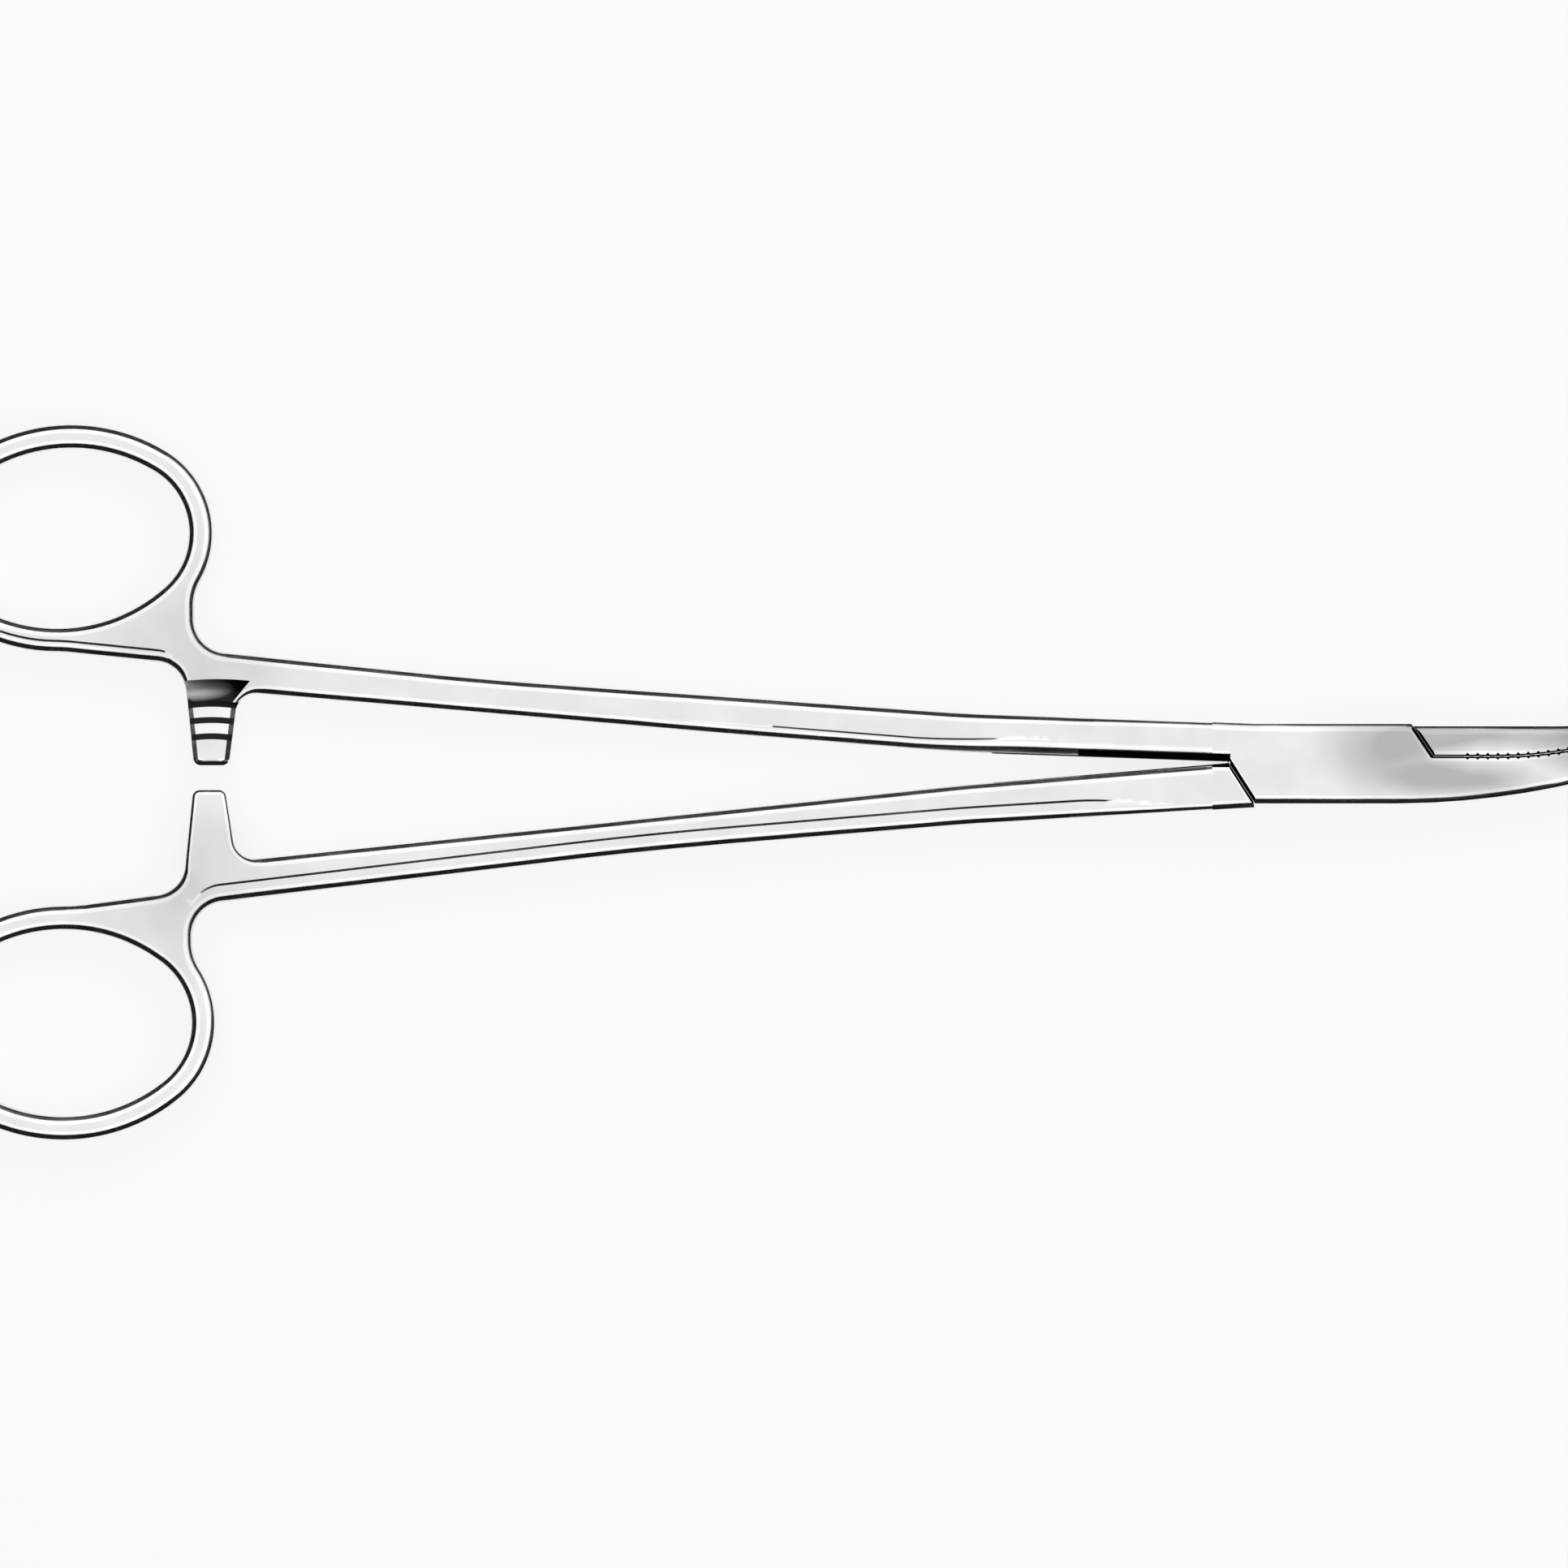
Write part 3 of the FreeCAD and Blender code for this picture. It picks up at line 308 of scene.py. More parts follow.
def shaded_milled_steel(finish):
    """Stainless steel as the cutter left it: rough and scored across. Its dark colour is painted shade on
    the ratchet's steep flanks, in the scoop and on the walls beside the bite, with a painted highlight in
    the scoop.

    Real feed marks are near 0.05 mm apart; they are drawn 0.15 mm apart so that they show.
    """
    material, tree = new_material("milled_flank_painted_shade")
    place = add_node(tree, "ShaderNodeTexCoord").outputs["Object"]
    marks = add_node(tree, "ShaderNodeMapping", {"Vector": place, "Scale": (6500, 300, 300)})
    feed = add_node(tree, "ShaderNodeTexNoise", {"Vector": marks.outputs[0], "Scale": 1.0, "Detail": 2.0})
    # Painted highlight: the scoop is lighter toward its left and fades to the dark flank colour.
    scoop_light = patch(tree, place, *SCOOP_LIGHT_PATCH)
    tone = add_node(tree, "ShaderNodeMix", {0: scoop_light, 6: finish.flank, 7: finish.steel}, data_type="RGBA")
    rough = add_node(tree, "ShaderNodeMapRange", {
        "Value": feed.outputs["Fac"], "To Min": 0.35, "To Max": 0.55})
    relief = add_node(tree, "ShaderNodeBump", {
        "Height": feed.outputs["Fac"], "Strength": 0.3, "Distance": 0.00002})
    shader = add_node(tree, "ShaderNodeBsdfPrincipled", {
        "Base Color": tone.outputs[2], "Metallic": 1.0, "Roughness": rough.outputs[0],
        "Normal": relief.outputs[0]})
    add_node(tree, "ShaderNodeOutputMaterial", {"Surface": shader.outputs[0]})
    return material


def oiled_joint_and_shade(finish):
    """Broken edge of the lap, darkened by the oil that works out of the joint as a thin uneven film; the
    same finish is painted shade over the crotch and on the bar behind the bite.
    """
    material, tree = new_material("oil_darkened_lap_and_shade")
    place = add_node(tree, "ShaderNodeTexCoord").outputs["Object"]
    film = add_node(tree, "ShaderNodeTexNoise", {"Vector": place, "Scale": 900.0, "Detail": 2.0})
    rough = add_node(tree, "ShaderNodeMapRange", {
        "Value": film.outputs["Fac"], "To Min": 0.3, "To Max": 0.6})
    shader = add_node(tree, "ShaderNodeBsdfPrincipled", {
        "Base Color": finish.joint, "Metallic": 1.0, "Roughness": rough.outputs[0]})
    add_node(tree, "ShaderNodeOutputMaterial", {"Surface": shader.outputs[0]})
    return material


def finishes():
    """Return the three finishes in the order of the pieces' material slots, made on first use."""
    names = ("buffed_stainless_painted_shade", "milled_flank_painted_shade", "oil_darkened_lap_and_shade")
    makers = (buffed_steel, shaded_milled_steel, oiled_joint_and_shade)
    finish = bpy.context.scene.needle_finish
    return [bpy.data.materials.get(name) or maker(finish) for name, maker in zip(names, makers)]


def smooth_step(value, low, high):
    """Return 0 below low and 1 above high, and an S-shaped rise 3t^2 - 2t^3 between them."""
    share = np.clip((value - low) / (high - low), 0, 1)
    return share * share * (3 - 2 * share)


def corner_arc(before, corner, after, radius):
    """Return the arc (centre, radius, first angle, turn) that touches both runs at a corner.

    It starts radius * tan(turn / 2) before the corner, and its centre lies one radius beside it.
    """
    enter = (corner - before) / abs(corner - before)
    leave = (after - corner) / abs(after - corner)
    turn = np.angle(leave / enter)
    start = corner - enter * radius * np.tan(abs(turn) / 2)
    centre = start + np.sign(turn) * 1j * enter * radius
    return centre, radius, np.angle(start - centre), turn


def blend_centre(spot, way, ring, radius, side):
    """Return the centre of the arc that joins a straight run to a ring's arc from outside.

    It lies one radius to the right of the run through spot, and ring radius + radius from the
    ring's centre: before the ring for side -1, after it for side 1.
    """
    beside = spot - 1j * way * radius
    gap = (ring[0] - beside) / way
    return beside + way * (gap.real + side * math.sqrt((ring[1] + radius) ** 2 - gap.imag ** 2))


def ring_arcs(centre, length, width, end_radius, tilt, band):
    """Return an oval's four arcs: front end, far side, rear end and near side, anticlockwise.

    The side radius is (reach^2 + b^2 - r^2) / (2 (b - r)) for half width b, end radius r and
    reach, the distance from the centre to an end arc's centre, so that the arcs touch.
    """
    lean = math.radians(tilt)
    reach, half = length / 2 - end_radius, width / 2
    side = (reach ** 2 + half ** 2 - end_radius ** 2) / (2 * (half - end_radius))
    turn = math.atan2(side - half, reach)
    along = np.exp(1j * lean)
    return [
        (centre + along * reach, end_radius + band, lean - turn, 2 * turn),
        (centre - 1j * along * (side - half), side + band, lean + turn, math.pi - 2 * turn),
        (centre - along * reach, end_radius + band, lean + math.pi - turn, 2 * turn),
        (centre + 1j * along * (side - half), side + band, lean + math.pi + turn, math.pi - 2 * turn),
    ]


def handle_arcs(plan):
    """Return the arcs of a handle's edge, from the box along the shank, round the ring and back."""
    start, end = plan["ends"]
    outer, inner = plan["outer"], plan["inner"]
    spots = [start] + [spot for spot, radius in outer] + [plan["neck"], plan["neck"] + 1j]
    radii = [radius for spot, radius in outer] + [NECK_RADIUS]
    arcs = [corner_arc(a, b, c, r) for a, b, c, r in zip(spots, spots[1:], spots[2:], radii)]
    front, far, rear, near = ring_arcs(*plan["ring"], BAND)
    heart = blend_centre(plan["neck"], 1j, front, NECK_BLEND, -1)
    first = np.angle(heart - front[0])
    arcs.append((heart, NECK_BLEND, math.pi, first))
    arcs += [(front[0], front[1], first, front[2] + front[3] - first), far, rear]
    web_start, web_end = plan["web"]
    way = (web_end - web_start) / abs(web_end - web_start)
    heart = blend_centre(web_start, way, near, WEB_BLEND, 1)
    arcs.append((near[0], near[1], near[2], (np.angle(heart - near[0]) - near[2]) % (2 * math.pi)))
    arcs.append((heart, WEB_BLEND, np.angle(near[0] - heart), np.angle(1j * way / (near[0] - heart))))
    spots = [web_start, web_end, *plan["arm"]] + [spot for spot, radius in inner] + [end]
    radii = [WEB_RADIUS, ARM_RADIUS, ARM_RADIUS, ROOT_RADIUS] + [radius for spot, radius in inner]
    return arcs + [corner_arc(a, b, c, r) for a, b, c, r in zip(spots, spots[1:], spots[2:], radii)]


def follow(arcs, start=None, end=None, step=1.0):
    """Return points and inward normals along arcs that straight runs join; the inside is on the left.

    A point of an arc is centre + radius * e^(i angle). Its normal is -e^(i angle) on a left turn.
    """
    points, inward = [], []
    here = start
    for centre, radius, first, turn in arcs:
        count = max(4, int(abs(turn) / 0.05), int(abs(turn) * radius / (2 * step)))
        angles = first + turn * np.linspace(0, 1, count + 1)
        arc = centre + radius * np.exp(1j * angles)
        if here is not None and abs(arc[0] - here) > 1e-4:
            steps = np.linspace(0, 1, int(abs(arc[0] - here) / step) + 2)[:-1]
            points.append(here + (arc[0] - here) * steps)
            inward.append(np.full(len(steps), 1j * (arc[0] - here) / abs(arc[0] - here)))
        points.append(arc[:-1])
        inward.append((-np.sign(turn) * np.exp(1j * angles))[:-1])
        here = arc[-1]
    if end is not None:
        steps = np.linspace(0, 1, int(abs(end - here) / step) + 2)
        points.append(here + (end - here) * steps)
        inward.append(np.full(len(steps), 1j * (end - here) / abs(end - here)))
    return np.concatenate(points), np.concatenate(inward)


def edge_profile(edge):
    """Return inset and drop of a handle's edge in mm, from the face outward.

    A crown arc c (sin t, 1 - cos t) leaves the face up to 32 degrees, a straight bevel of 38
    degrees follows it, and a small arc s (sin t, -cos t) turns from 43 degrees to the upright side.
    """
    crown, bevel, small = edge.crown / MM, edge.bevel / MM, edge.small / MM
    rise = np.radians(np.linspace(0, 32, 7))
    tilt = math.radians(38)
    turn = np.radians(np.linspace(43, 90, 6))
    out, down = crown * np.sin(rise), crown * (1 - np.cos(rise))
    out_low = out[-1] + bevel * math.cos(tilt) + small * (np.sin(turn) - np.sin(turn[0]))
    down_low = down[-1] + bevel * math.sin(tilt) + small * (np.cos(turn[0]) - np.cos(turn))
    out = np.concatenate([out, out_low])
    return out[-1] - out, np.concatenate([down, down_low])


def half_height(x):
    """Return half the shank's thickness: flat to x = -44, then an arc r - sqrt(r^2 - (x + 44)^2) up."""
    low, high, start, end = 2.1, 3.3, -44.0, -14.0
    radius = ((end - start) ** 2 + (high - low) ** 2) / (2 * (high - low))
    run = np.clip(x - start, 0, end - start)
    return low + radius - np.sqrt(radius ** 2 - run ** 2)


def edge_band(points, inward, size, line_inset, line_depth, edge):
    """Return the edge's grid of points, one row for each plan point, from upper to lower face.

    Point k of a row lies at plan point + inset_k * inward, and half_height - drop_k above or below
    the mid plane. The first two points draw the faint forging line on the face.
    """
    inset, drop = edge_profile(edge)
    step = 0.02 + edge.line_width / MM * (line_depth / (edge.line_depth / MM))
    insets = np.column_stack([line_inset + step, line_inset, size[:, None] * inset])
    drops = np.column_stack([0 * size, line_depth, line_depth[:, None] + size[:, None] * drop])
    plan = points[:, None] + inward[:, None] * insets
    height = half_height(plan.real) - drops
    plan = np.concatenate([plan, plan[:, ::-1]], axis=1)
    height = np.concatenate([height, -height[:, ::-1]], axis=1)
    return np.stack([plan.real, plan.imag, height], axis=-1)


def end_wall(start, end, rows):
    """Return the upright wall that closes a handle inside the box, between two plan points."""
    plan = start + (end - start) * np.linspace(0, 1, 6)
    height = half_height(plan.real)[:, None] * np.linspace(1, -1, rows)
    spread = np.repeat(plan[:, None], rows, axis=1)
    return np.stack([spread.real, spread.imag, height], axis=-1)


def loop_faces(rows, columns, first):
    """Return the quads of a grid whose rows close to a loop; indices start at first."""
    index = first + np.arange(rows * columns).reshape(rows, columns)
    below = np.roll(index, -1, axis=0)
    return np.stack([index[:, :-1], below[:, :-1], below[:, 1:], index[:, 1:]], axis=-1).reshape(-1, 4)


def inside(points, loop):
    """Tell which points lie in a closed loop: a ray along X crosses it an odd number of times."""
    a, b = loop, np.roll(loop, -1)
    spans = (a.imag > points.imag[:, None]) != (b.imag > points.imag[:, None])
    rise = np.where(b.imag == a.imag, 1, b.imag - a.imag)
    cross = a.real + (points.imag[:, None] - a.imag) * (b.real - a.real) / rise
    return (spans & (points.real[:, None] < cross)).sum(axis=1) % 2 == 1


def face_between(outer, opening):
    """Return plan points and triangles that fill the space between a handle's edge and its opening."""
    xs, ys = np.meshgrid(np.arange(-44, -14.4, 0.7), np.arange(-1, 9, 0.5))
    grid = (xs + 1j * ys).ravel()
    away = np.abs(grid[:, None] - outer).min(axis=1)
    grid = grid[inside(grid, outer) & (away > 0.4)]
    count, hole = len(outer), len(opening)
    index, round_hole = np.arange(count), np.arange(hole)
    edges = np.column_stack([index, np.roll(index, -1)]).tolist()
    edges += (np.column_stack([round_hole, np.roll(round_hole, -1)]) + count).tolist()
    every = np.concatenate([outer, opening, grid])
    spots = [Vector(pair) for pair in np.column_stack([every.real, every.imag]).tolist()]
    found = delaunay_2d_cdt(spots, edges, [], 0, 1e-5)
    plan = every[[sources[0] for sources in found[3]]]
    faces = np.array([face for face in found[2] if len(face) == 3])
    middle = plan[faces].mean(axis=1)
    return plan, faces[inside(middle, outer) & ~inside(middle, opening)]


def mesh_from(name, points, faces, materials, indices=None):
    """Return a closed mesh of points in mm from the mid plane, without doubles and folded faces."""
    places = np.asarray(points, float)
    first, index = np.unique(np.round(places, 4), axis=0, return_index=True, return_inverse=True)[1:]
    index = index.ravel()
    faces = [list(dict.fromkeys(index[list(face)].tolist())) for face in faces]
    kept = [k for k, face in enumerate(faces) if len(face) > 2]
    mesh = bpy.data.meshes.new(name)
    mesh.from_pydata((places[first] + (0, 0, MID)) * MM, [], [faces[k] for k in kept])
    for material in materials:
        mesh.materials.append(material)
    if indices is not None:
        mesh.polygons.foreach_set("material_index", np.asarray(indices, np.int32)[kept])
    mesh.validate()
    shape = bmesh.new()
    shape.from_mesh(mesh)
    bmesh.ops.recalc_face_normals(shape, faces=shape.faces)
    shape.to_mesh(mesh)
    shape.free()
    return mesh


def closed_grid(name, surface, lid, materials, indices):
    """Return a closed cutter: a surface grid, a lid grid above it, and walls between their rims.

    The indices are the surface quads' material slots; all other faces have the milled one.
    """
    rows, columns = surface.shape[:2]
    index = np.arange(rows * columns).reshape(rows, columns)
    over = index + rows * columns
    quads = [np.stack([a[:-1, :-1], a[1:, :-1], a[1:, 1:], a[:-1, 1:]], axis=-1).reshape(-1, 4)
             for a in (index, over)]
    rims = [(index[0], over[0]), (index[-1], over[-1]),
            (index[:, 0], over[:, 0]), (index[:, -1], over[:, -1])]
    walls = [np.stack([a[:-1], a[1:], b[1:], b[:-1]], axis=-1) for a, b in rims]
    faces = np.concatenate(quads + walls)
    kinds = np.full(len(faces), MILLED_SHADE)
    kinds[:len(indices)] = indices
    points = np.concatenate([surface.reshape(-1, 3), lid.reshape(-1, 3)])
    return mesh_from(name, points, faces, materials, kinds)


def carve(mesh, cutters):
    """Cut closed cutters out of a mesh; the cut faces keep the cutters' finishes."""
    name = mesh.name
    blank = bpy.data.objects.new("blank", mesh)
    bpy.context.scene.collection.objects.link(blank)
    tools = [bpy.data.objects.new(cutter.name, cutter) for cutter in cutters]
    for tool in tools:
        bpy.context.scene.collection.objects.link(tool)
        cut = blank.modifiers.new(tool.name, "BOOLEAN")
        cut.operation = "DIFFERENCE"
        cut.solver = "EXACT"
        cut.material_mode = "TRANSFER"
        cut.object = tool
        blank.modifiers.new("Close", "WELD").merge_threshold = 0.001 * MM
    bpy.context.view_layer.update()
    carved = bpy.data.meshes.new_from_object(blank.evaluated_get(bpy.context.evaluated_depsgraph_get()))
    for spent in [mesh] + cutters:
        bpy.data.meshes.remove(spent)
    if not carved.polygons:
        raise RuntimeError(f"cutting {name} left nothing")
    carved.name = name
    return carved


def merge_flats(mesh):
    """Merge a mesh's coplanar facets."""
    shape = bmesh.new()
    shape.from_mesh(mesh)
    bmesh.ops.dissolve_limit(
        shape, angle_limit=0.004, verts=shape.verts, edges=shape.edges, delimit={"MATERIAL"})
    shape.to_mesh(mesh)
    shape.free()
    return mesh


def finish_piece(mesh, body, slot, *nodes):
    """Shade the mesh smooth up to 30 degrees and set it in place of its CAD nodes."""
    mesh.polygons.foreach_set("use_smooth", np.ones(len(mesh.polygons), bool))
    mesh.set_sharp_from_angle(angle=math.radians(30))
    piece = bpy.data.objects.new(mesh.name, mesh)
    bpy.context.scene.collection.objects.link(piece)
    even = piece.modifiers.new("Even", "WEIGHTED_NORMAL")
    even.keep_sharp = True
    even.weight = 90
    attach(piece, body)
    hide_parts(*nodes)


def edge_sizes(plan, points, inward, full_depth):
    """Return each plan point's edge size, forging line depth and line inset.

    The edge shrinks to 0.55 round the ratchet arm and to 0.7 along the outer edge toward the box,
    and grows to 1.5 at the upper shank's crotch. The lines run along the shanks and the upper web.
    """
    x = points.real
    root = plan["arm"][2].imag
    arm = smooth_step(-x, 126, 129) * smooth_step(-points.imag, -root - 3, -root)
    size = (1 - 0.45 * arm) * (1 - 0.3 * np.clip((x + 43.4) / 29.4, 0, 1) * (inward.imag < 0))
    if plan["way"] > 0:
        size = size * (1 + 0.5 * smooth_step(x, -50, -34) * (inward.imag > 0))
        shank = 0.75 * (inward.imag > 0.9) * smooth_step(x, -82, -66) * smooth_step(-x, 30, 40)
        web = (inward.imag > 0.9) * smooth_step(x, -163, -157) * smooth_step(-x, 136, 139)
        return size, full_depth * np.maximum(shank, web), LINE_INSET * size
    shank = smooth_step(-inward.imag, 0.6, 0.8) * smooth_step(x, -136, -131) * smooth_step(-x, 17, 30)
    line_inset = LINE_INSET * size + (LOW_LINE_INSET - LINE_INSET * size) * shank
    return size, full_depth * shank, line_inset


def crotch_shade_strips(plan, rim, band_rows):
    """Tell which quads of a handle's rim get the joint's dark finish as painted shade: the upper shank's
    over the crotch.

    Strips count from the face: 8 is the bevel, 9 to 13 the side radius and 14 the upright side.
    """
    rows, columns = rim.shape[0], rim.shape[1] - 1
    level = np.minimum(np.arange(columns), np.arange(columns)[::-1])
    row, x = np.arange(rows), rim[:, 0, 0]
    crotch = (x > -40) & (row > band_rows // 2) & (row < band_rows - 1) & (plan["way"] > 0)
    return (crotch[:, None] & (level >= np.where(x > -30, 8, 10)[:, None])).ravel()


def handle_mesh(name, plan, edge, materials):
    """Return a handle as one closed surface: its edge bands, its two faces and its end wall."""
    points, inward = follow(handle_arcs(plan), *plan["ends"])
    inward[0], inward[-1] = -1j, 1j
    size, depth, line_inset = edge_sizes(plan, points, inward, edge.line_depth / MM)
    band = edge_band(points, inward, size, line_inset, depth, edge)
    rows = band.shape[1]
    wall = end_wall(complex(*band[-1, 0, :2]), complex(*band[0, 0, :2]), rows)
    rim = np.concatenate([band, wall])
    oval = [(c, r, a + t, -t) for c, r, a, t in ring_arcs(*plan["ring"], 0)[::-1]]
    points, inward = follow(oval)
    ones = np.ones(len(points))
    hole = edge_band(points, inward, ones, LINE_INSET * ones, 0 * ones, edge)
    cap, cap_faces = face_between(rim[:, 0, 0] + 1j * rim[:, 0, 1], hole[:, 0, 0] + 1j * hole[:, 0, 1])
    height = half_height(cap.real)
    base = (len(rim) + len(hole)) * rows
    spots = np.concatenate([
        rim.reshape(-1, 3), hole.reshape(-1, 3),
        np.stack([cap.real, cap.imag, height], axis=-1),
        np.stack([cap.real, cap.imag, -height], axis=-1)])
    spots[:, 1] *= plan["way"]
    faces = loop_faces(*rim.shape[:2], 0).tolist()
    faces += loop_faces(*hole.shape[:2], rim.shape[0] * rows).tolist()
    faces += (cap_faces + base).tolist() + (cap_faces + base + len(cap)).tolist()
    # Painted shade: the upper shank's rim over the crotch, between the shanks.
    oiled_and_shaded = crotch_shade_strips(plan, rim, len(band))
    kinds = np.full(len(faces), STEEL)
    kinds[:len(oiled_and_shaded)] = np.where(oiled_and_shaded, OILED_AND_SHADED, STEEL)
    return mesh_from(name, spots, faces, materials, kinds)


def ratchet_cutter(plan, sizes, materials):
    """Return the cutter of a ratchet: a scoop, then teeth with steep flanks and long lands.

    The scoop is root + (face - root) (1 - sqrt(1 - u^2)) over u from 1 to 0. The teeth follow a saw
    in y, with its middle at the mid plane. Near the arm's outline, at distance d, both fall by
    TOOTH_SLOPE (side - d). The scoop's front edge starts 0.4 mm inside the arm's and leans out with
    the fillet at the root. Extra rows at the arm's end let the cut follow its rounded corners.
    """
    rear, front, root_spot = plan["arm"]
    web = plan["web"][1]
    end_y = rear.imag
    first = end_y + sizes.first / MM
    pitch, flank, side = sizes.pitch / MM, sizes.flank / MM, sizes.side / MM
    crest = sizes.rise / MM / 2
    root, face = -crest - 0.05, 2.1
    u = np.linspace(1, 0, 13)
    scoop_y = first + sizes.scoop / MM * u
    scoop_z = root + (face - root) * (1 - np.sqrt(1 - u ** 2))
    starts = first - pitch * np.arange(sizes.teeth)
    teeth_y = np.column_stack([starts - flank, starts - pitch]).ravel()
    teeth_z = np.tile([crest, root], sizes.teeth)
    teeth_y[-1], teeth_z[-1] = end_y - 1.5, 0.0
    knots_y = np.concatenate([[scoop_y[0] + 0.01], scoop_y, teeth_y])
    knots_z = np.concatenate([[face + 1], scoop_z, teeth_z])
    extra = end_y + np.array([1.3, 1.0, 0.8, 0.6, 0.45, 0.3, 0.15, 0])
    ys = np.unique(np.concatenate([knots_y, [first + 0.011], extra]))[::-1]
    zs = np.interp(ys, knots_y[::-1], knots_z[::-1])
    left = rear.real + (web - rear).real / (web - rear).imag * (ys - end_y)
    right = front.real + (root_spot - front).real / (root_spot - front).imag * (ys - end_y)
    above = ys > first + 1e-6
    right = np.where(above, right - 0.4 + 0.68 * (ys - first), right)
    outer = np.where(above, right, right + 1.2)
    share = np.array([0, 0.25, 0.5, 0.75, 1.0]) * side
    mid = np.linspace(0, 1, 7)[1:-1]
    insides = left[:, None] + side + (right - left - 2 * side)[:, None] * mid
    xs = np.column_stack([left - 3, left[:, None] + share, insides, right[:, None] - share[::-1], outer])
    rows = np.repeat(ys[:, None], xs.shape[1], axis=1)
    beside = np.minimum(xs - left[:, None], np.where(above, 9, right)[:, None] - xs)
    beyond = rows - end_y
    corner = np.hypot(np.clip(ARM_RADIUS - beside, 0, None), np.clip(ARM_RADIUS - beyond, 0, None))
    away = np.clip(ARM_RADIUS - corner, 0, side)
    fall = TOOTH_SLOPE * (side - away) * smooth_step(first + 0.4 - rows, 0, 0.4)
    across = np.clip((xs - left[:, None]) / (right - left)[:, None], 0, 1)
    bow = sizes.arch / MM * 4 * across * (1 - across) * smooth_step(rows, end_y + 1, end_y + 3)
    way = plan["way"]
    surface = np.stack([xs, way * (rows + bow), way * (zs[:, None] - fall)], axis=-1)
    lid = np.stack([xs, way * (rows + bow), np.full(xs.shape, way * 5.0)], axis=-1)
    # Steep flanks, the arm's end and the scoop take the milled finish, whose dark colour is painted
    # shade.
    middle = (ys[1:] + ys[:-1]) / 2
    steep = (np.diff(zs) > 0) & (middle < first) | (middle < end_y + 0.45)
    hollow = middle > first
    dark = np.repeat((steep | hollow)[:, None], xs.shape[1] - 1, axis=1)
    return closed_grid("ratchet_cutter", surface, lid, materials, dark.ravel())


def route(corners):
    """Return points along straight runs whose corners are rounded to their radii."""
    spots = [spot for spot, radius in corners]
    radii = [radius for spot, radius in corners[1:-1]]
    arcs = [corner_arc(x, y, z, r) for x, y, z, r in zip(spots, spots[1:], spots[2:], radii)]
    return follow(arcs, spots[0], spots[-1])[0]


def face_height(x):
    """Return the height of box and jaws over the mid plane: flat at the box, then a straight taper."""
    return BOX_HALF - JAW_TAPER * np.clip((x - TAPER_START) / TAPER_LENGTH, 0, 1)


def routed_cutter(name, path, section, side, materials, kinds):
    """Return a closed cutter along a path.

    Its section is a list of (offset to the left of the path, rise above the face). side is 1 on the
    upper and -1 on the lower face.
    """
    offsets, rises = np.array(section).T
    ahead = np.gradient(path)
    plan = path[:, None] + (1j * ahead / np.abs(ahead))[:, None] * offsets
    height = side * (face_height(path.real)[:, None] + rises)
    rim = np.stack([plan.real, plan.imag, height], axis=-1)
    return tube_mesh(name, rim, materials, kinds)


def tube_mesh(name, rim, materials, kinds):
    """Return the closed mesh of a bar from its sections, one per row; each side has its own finish."""
    index = np.arange(rim.shape[0] * rim.shape[1]).reshape(rim.shape[:2])
    following = np.roll(index, -1, axis=1)
    walls = np.stack([index[:-1], index[1:], following[1:], following[:-1]], axis=-1).reshape(-1, 4)
    faces = walls.tolist() + [index[0].tolist(), index[-1].tolist()]
    slots = np.append(np.tile(kinds, len(rim) - 1), [STEEL, STEEL])
    return mesh_from(name, rim.reshape(-1, 3), faces, materials, slots)


def joint_section(width, land):
    """Return the section of a broken joint: a V of 45 degrees between two lands of 15 degrees."""
    half, drop = width / 2, LAND_SLOPE * land
    flank = [(half, -drop), (half + 1.4 * land, 0.4 * drop)]
    return [(-x, z) for x, z in flank[::-1]] + [(0, -drop - half)] + flank


def bevel_section(width, land):
    """Return the section that bevels an edge by 40 degrees, beside a slanting land of 15 degrees."""
    drop = LAND_SLOPE * land
    foot = -drop - BEVEL_SLOPE * width
    return [(-1.0, 0.6), (-0.4, foot), (0, foot), (width, -drop), (width + 1.4 * land, 0.4 * drop)]


def front_of(node, name, cut, materials):
    """Return a merged copy of a CAD node, kept in front of the plane x = cut (in m) and closed there."""
    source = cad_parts[node].data
    places = np.empty(len(source.vertices) * 3)
    source.vertices.foreach_get("co", places)
    corners = np.empty(len(source.loops), int)
    source.loops.foreach_get("vertex_index", corners)
    mesh = mesh_from(name, places.reshape(-1, 3) / MM - (0, 0, MID), corners.reshape(-1, 3), materials)
    if cut is None:
        return mesh
    shape = bmesh.new()
    shape.from_mesh(mesh)
    everything = shape.verts[:] + shape.edges[:] + shape.faces[:]
    made = bmesh.ops.bisect_plane(
        shape, geom=everything, dist=1e-7, plane_co=(cut, 0, 0), plane_no=(-1, 0, 0), clear_outer=True)
    rim = [edge for edge in made["geom_cut"] if isinstance(edge, bmesh.types.BMEdge)]
    if not rim:
        raise RuntimeError(f"{node} doesn't reach the seam")
    bmesh.ops.triangle_fill(shape, edges=rim, use_beauty=True)
    shape.to_mesh(mesh)
    shape.free()
    finish_gaps(mesh)
    return mesh


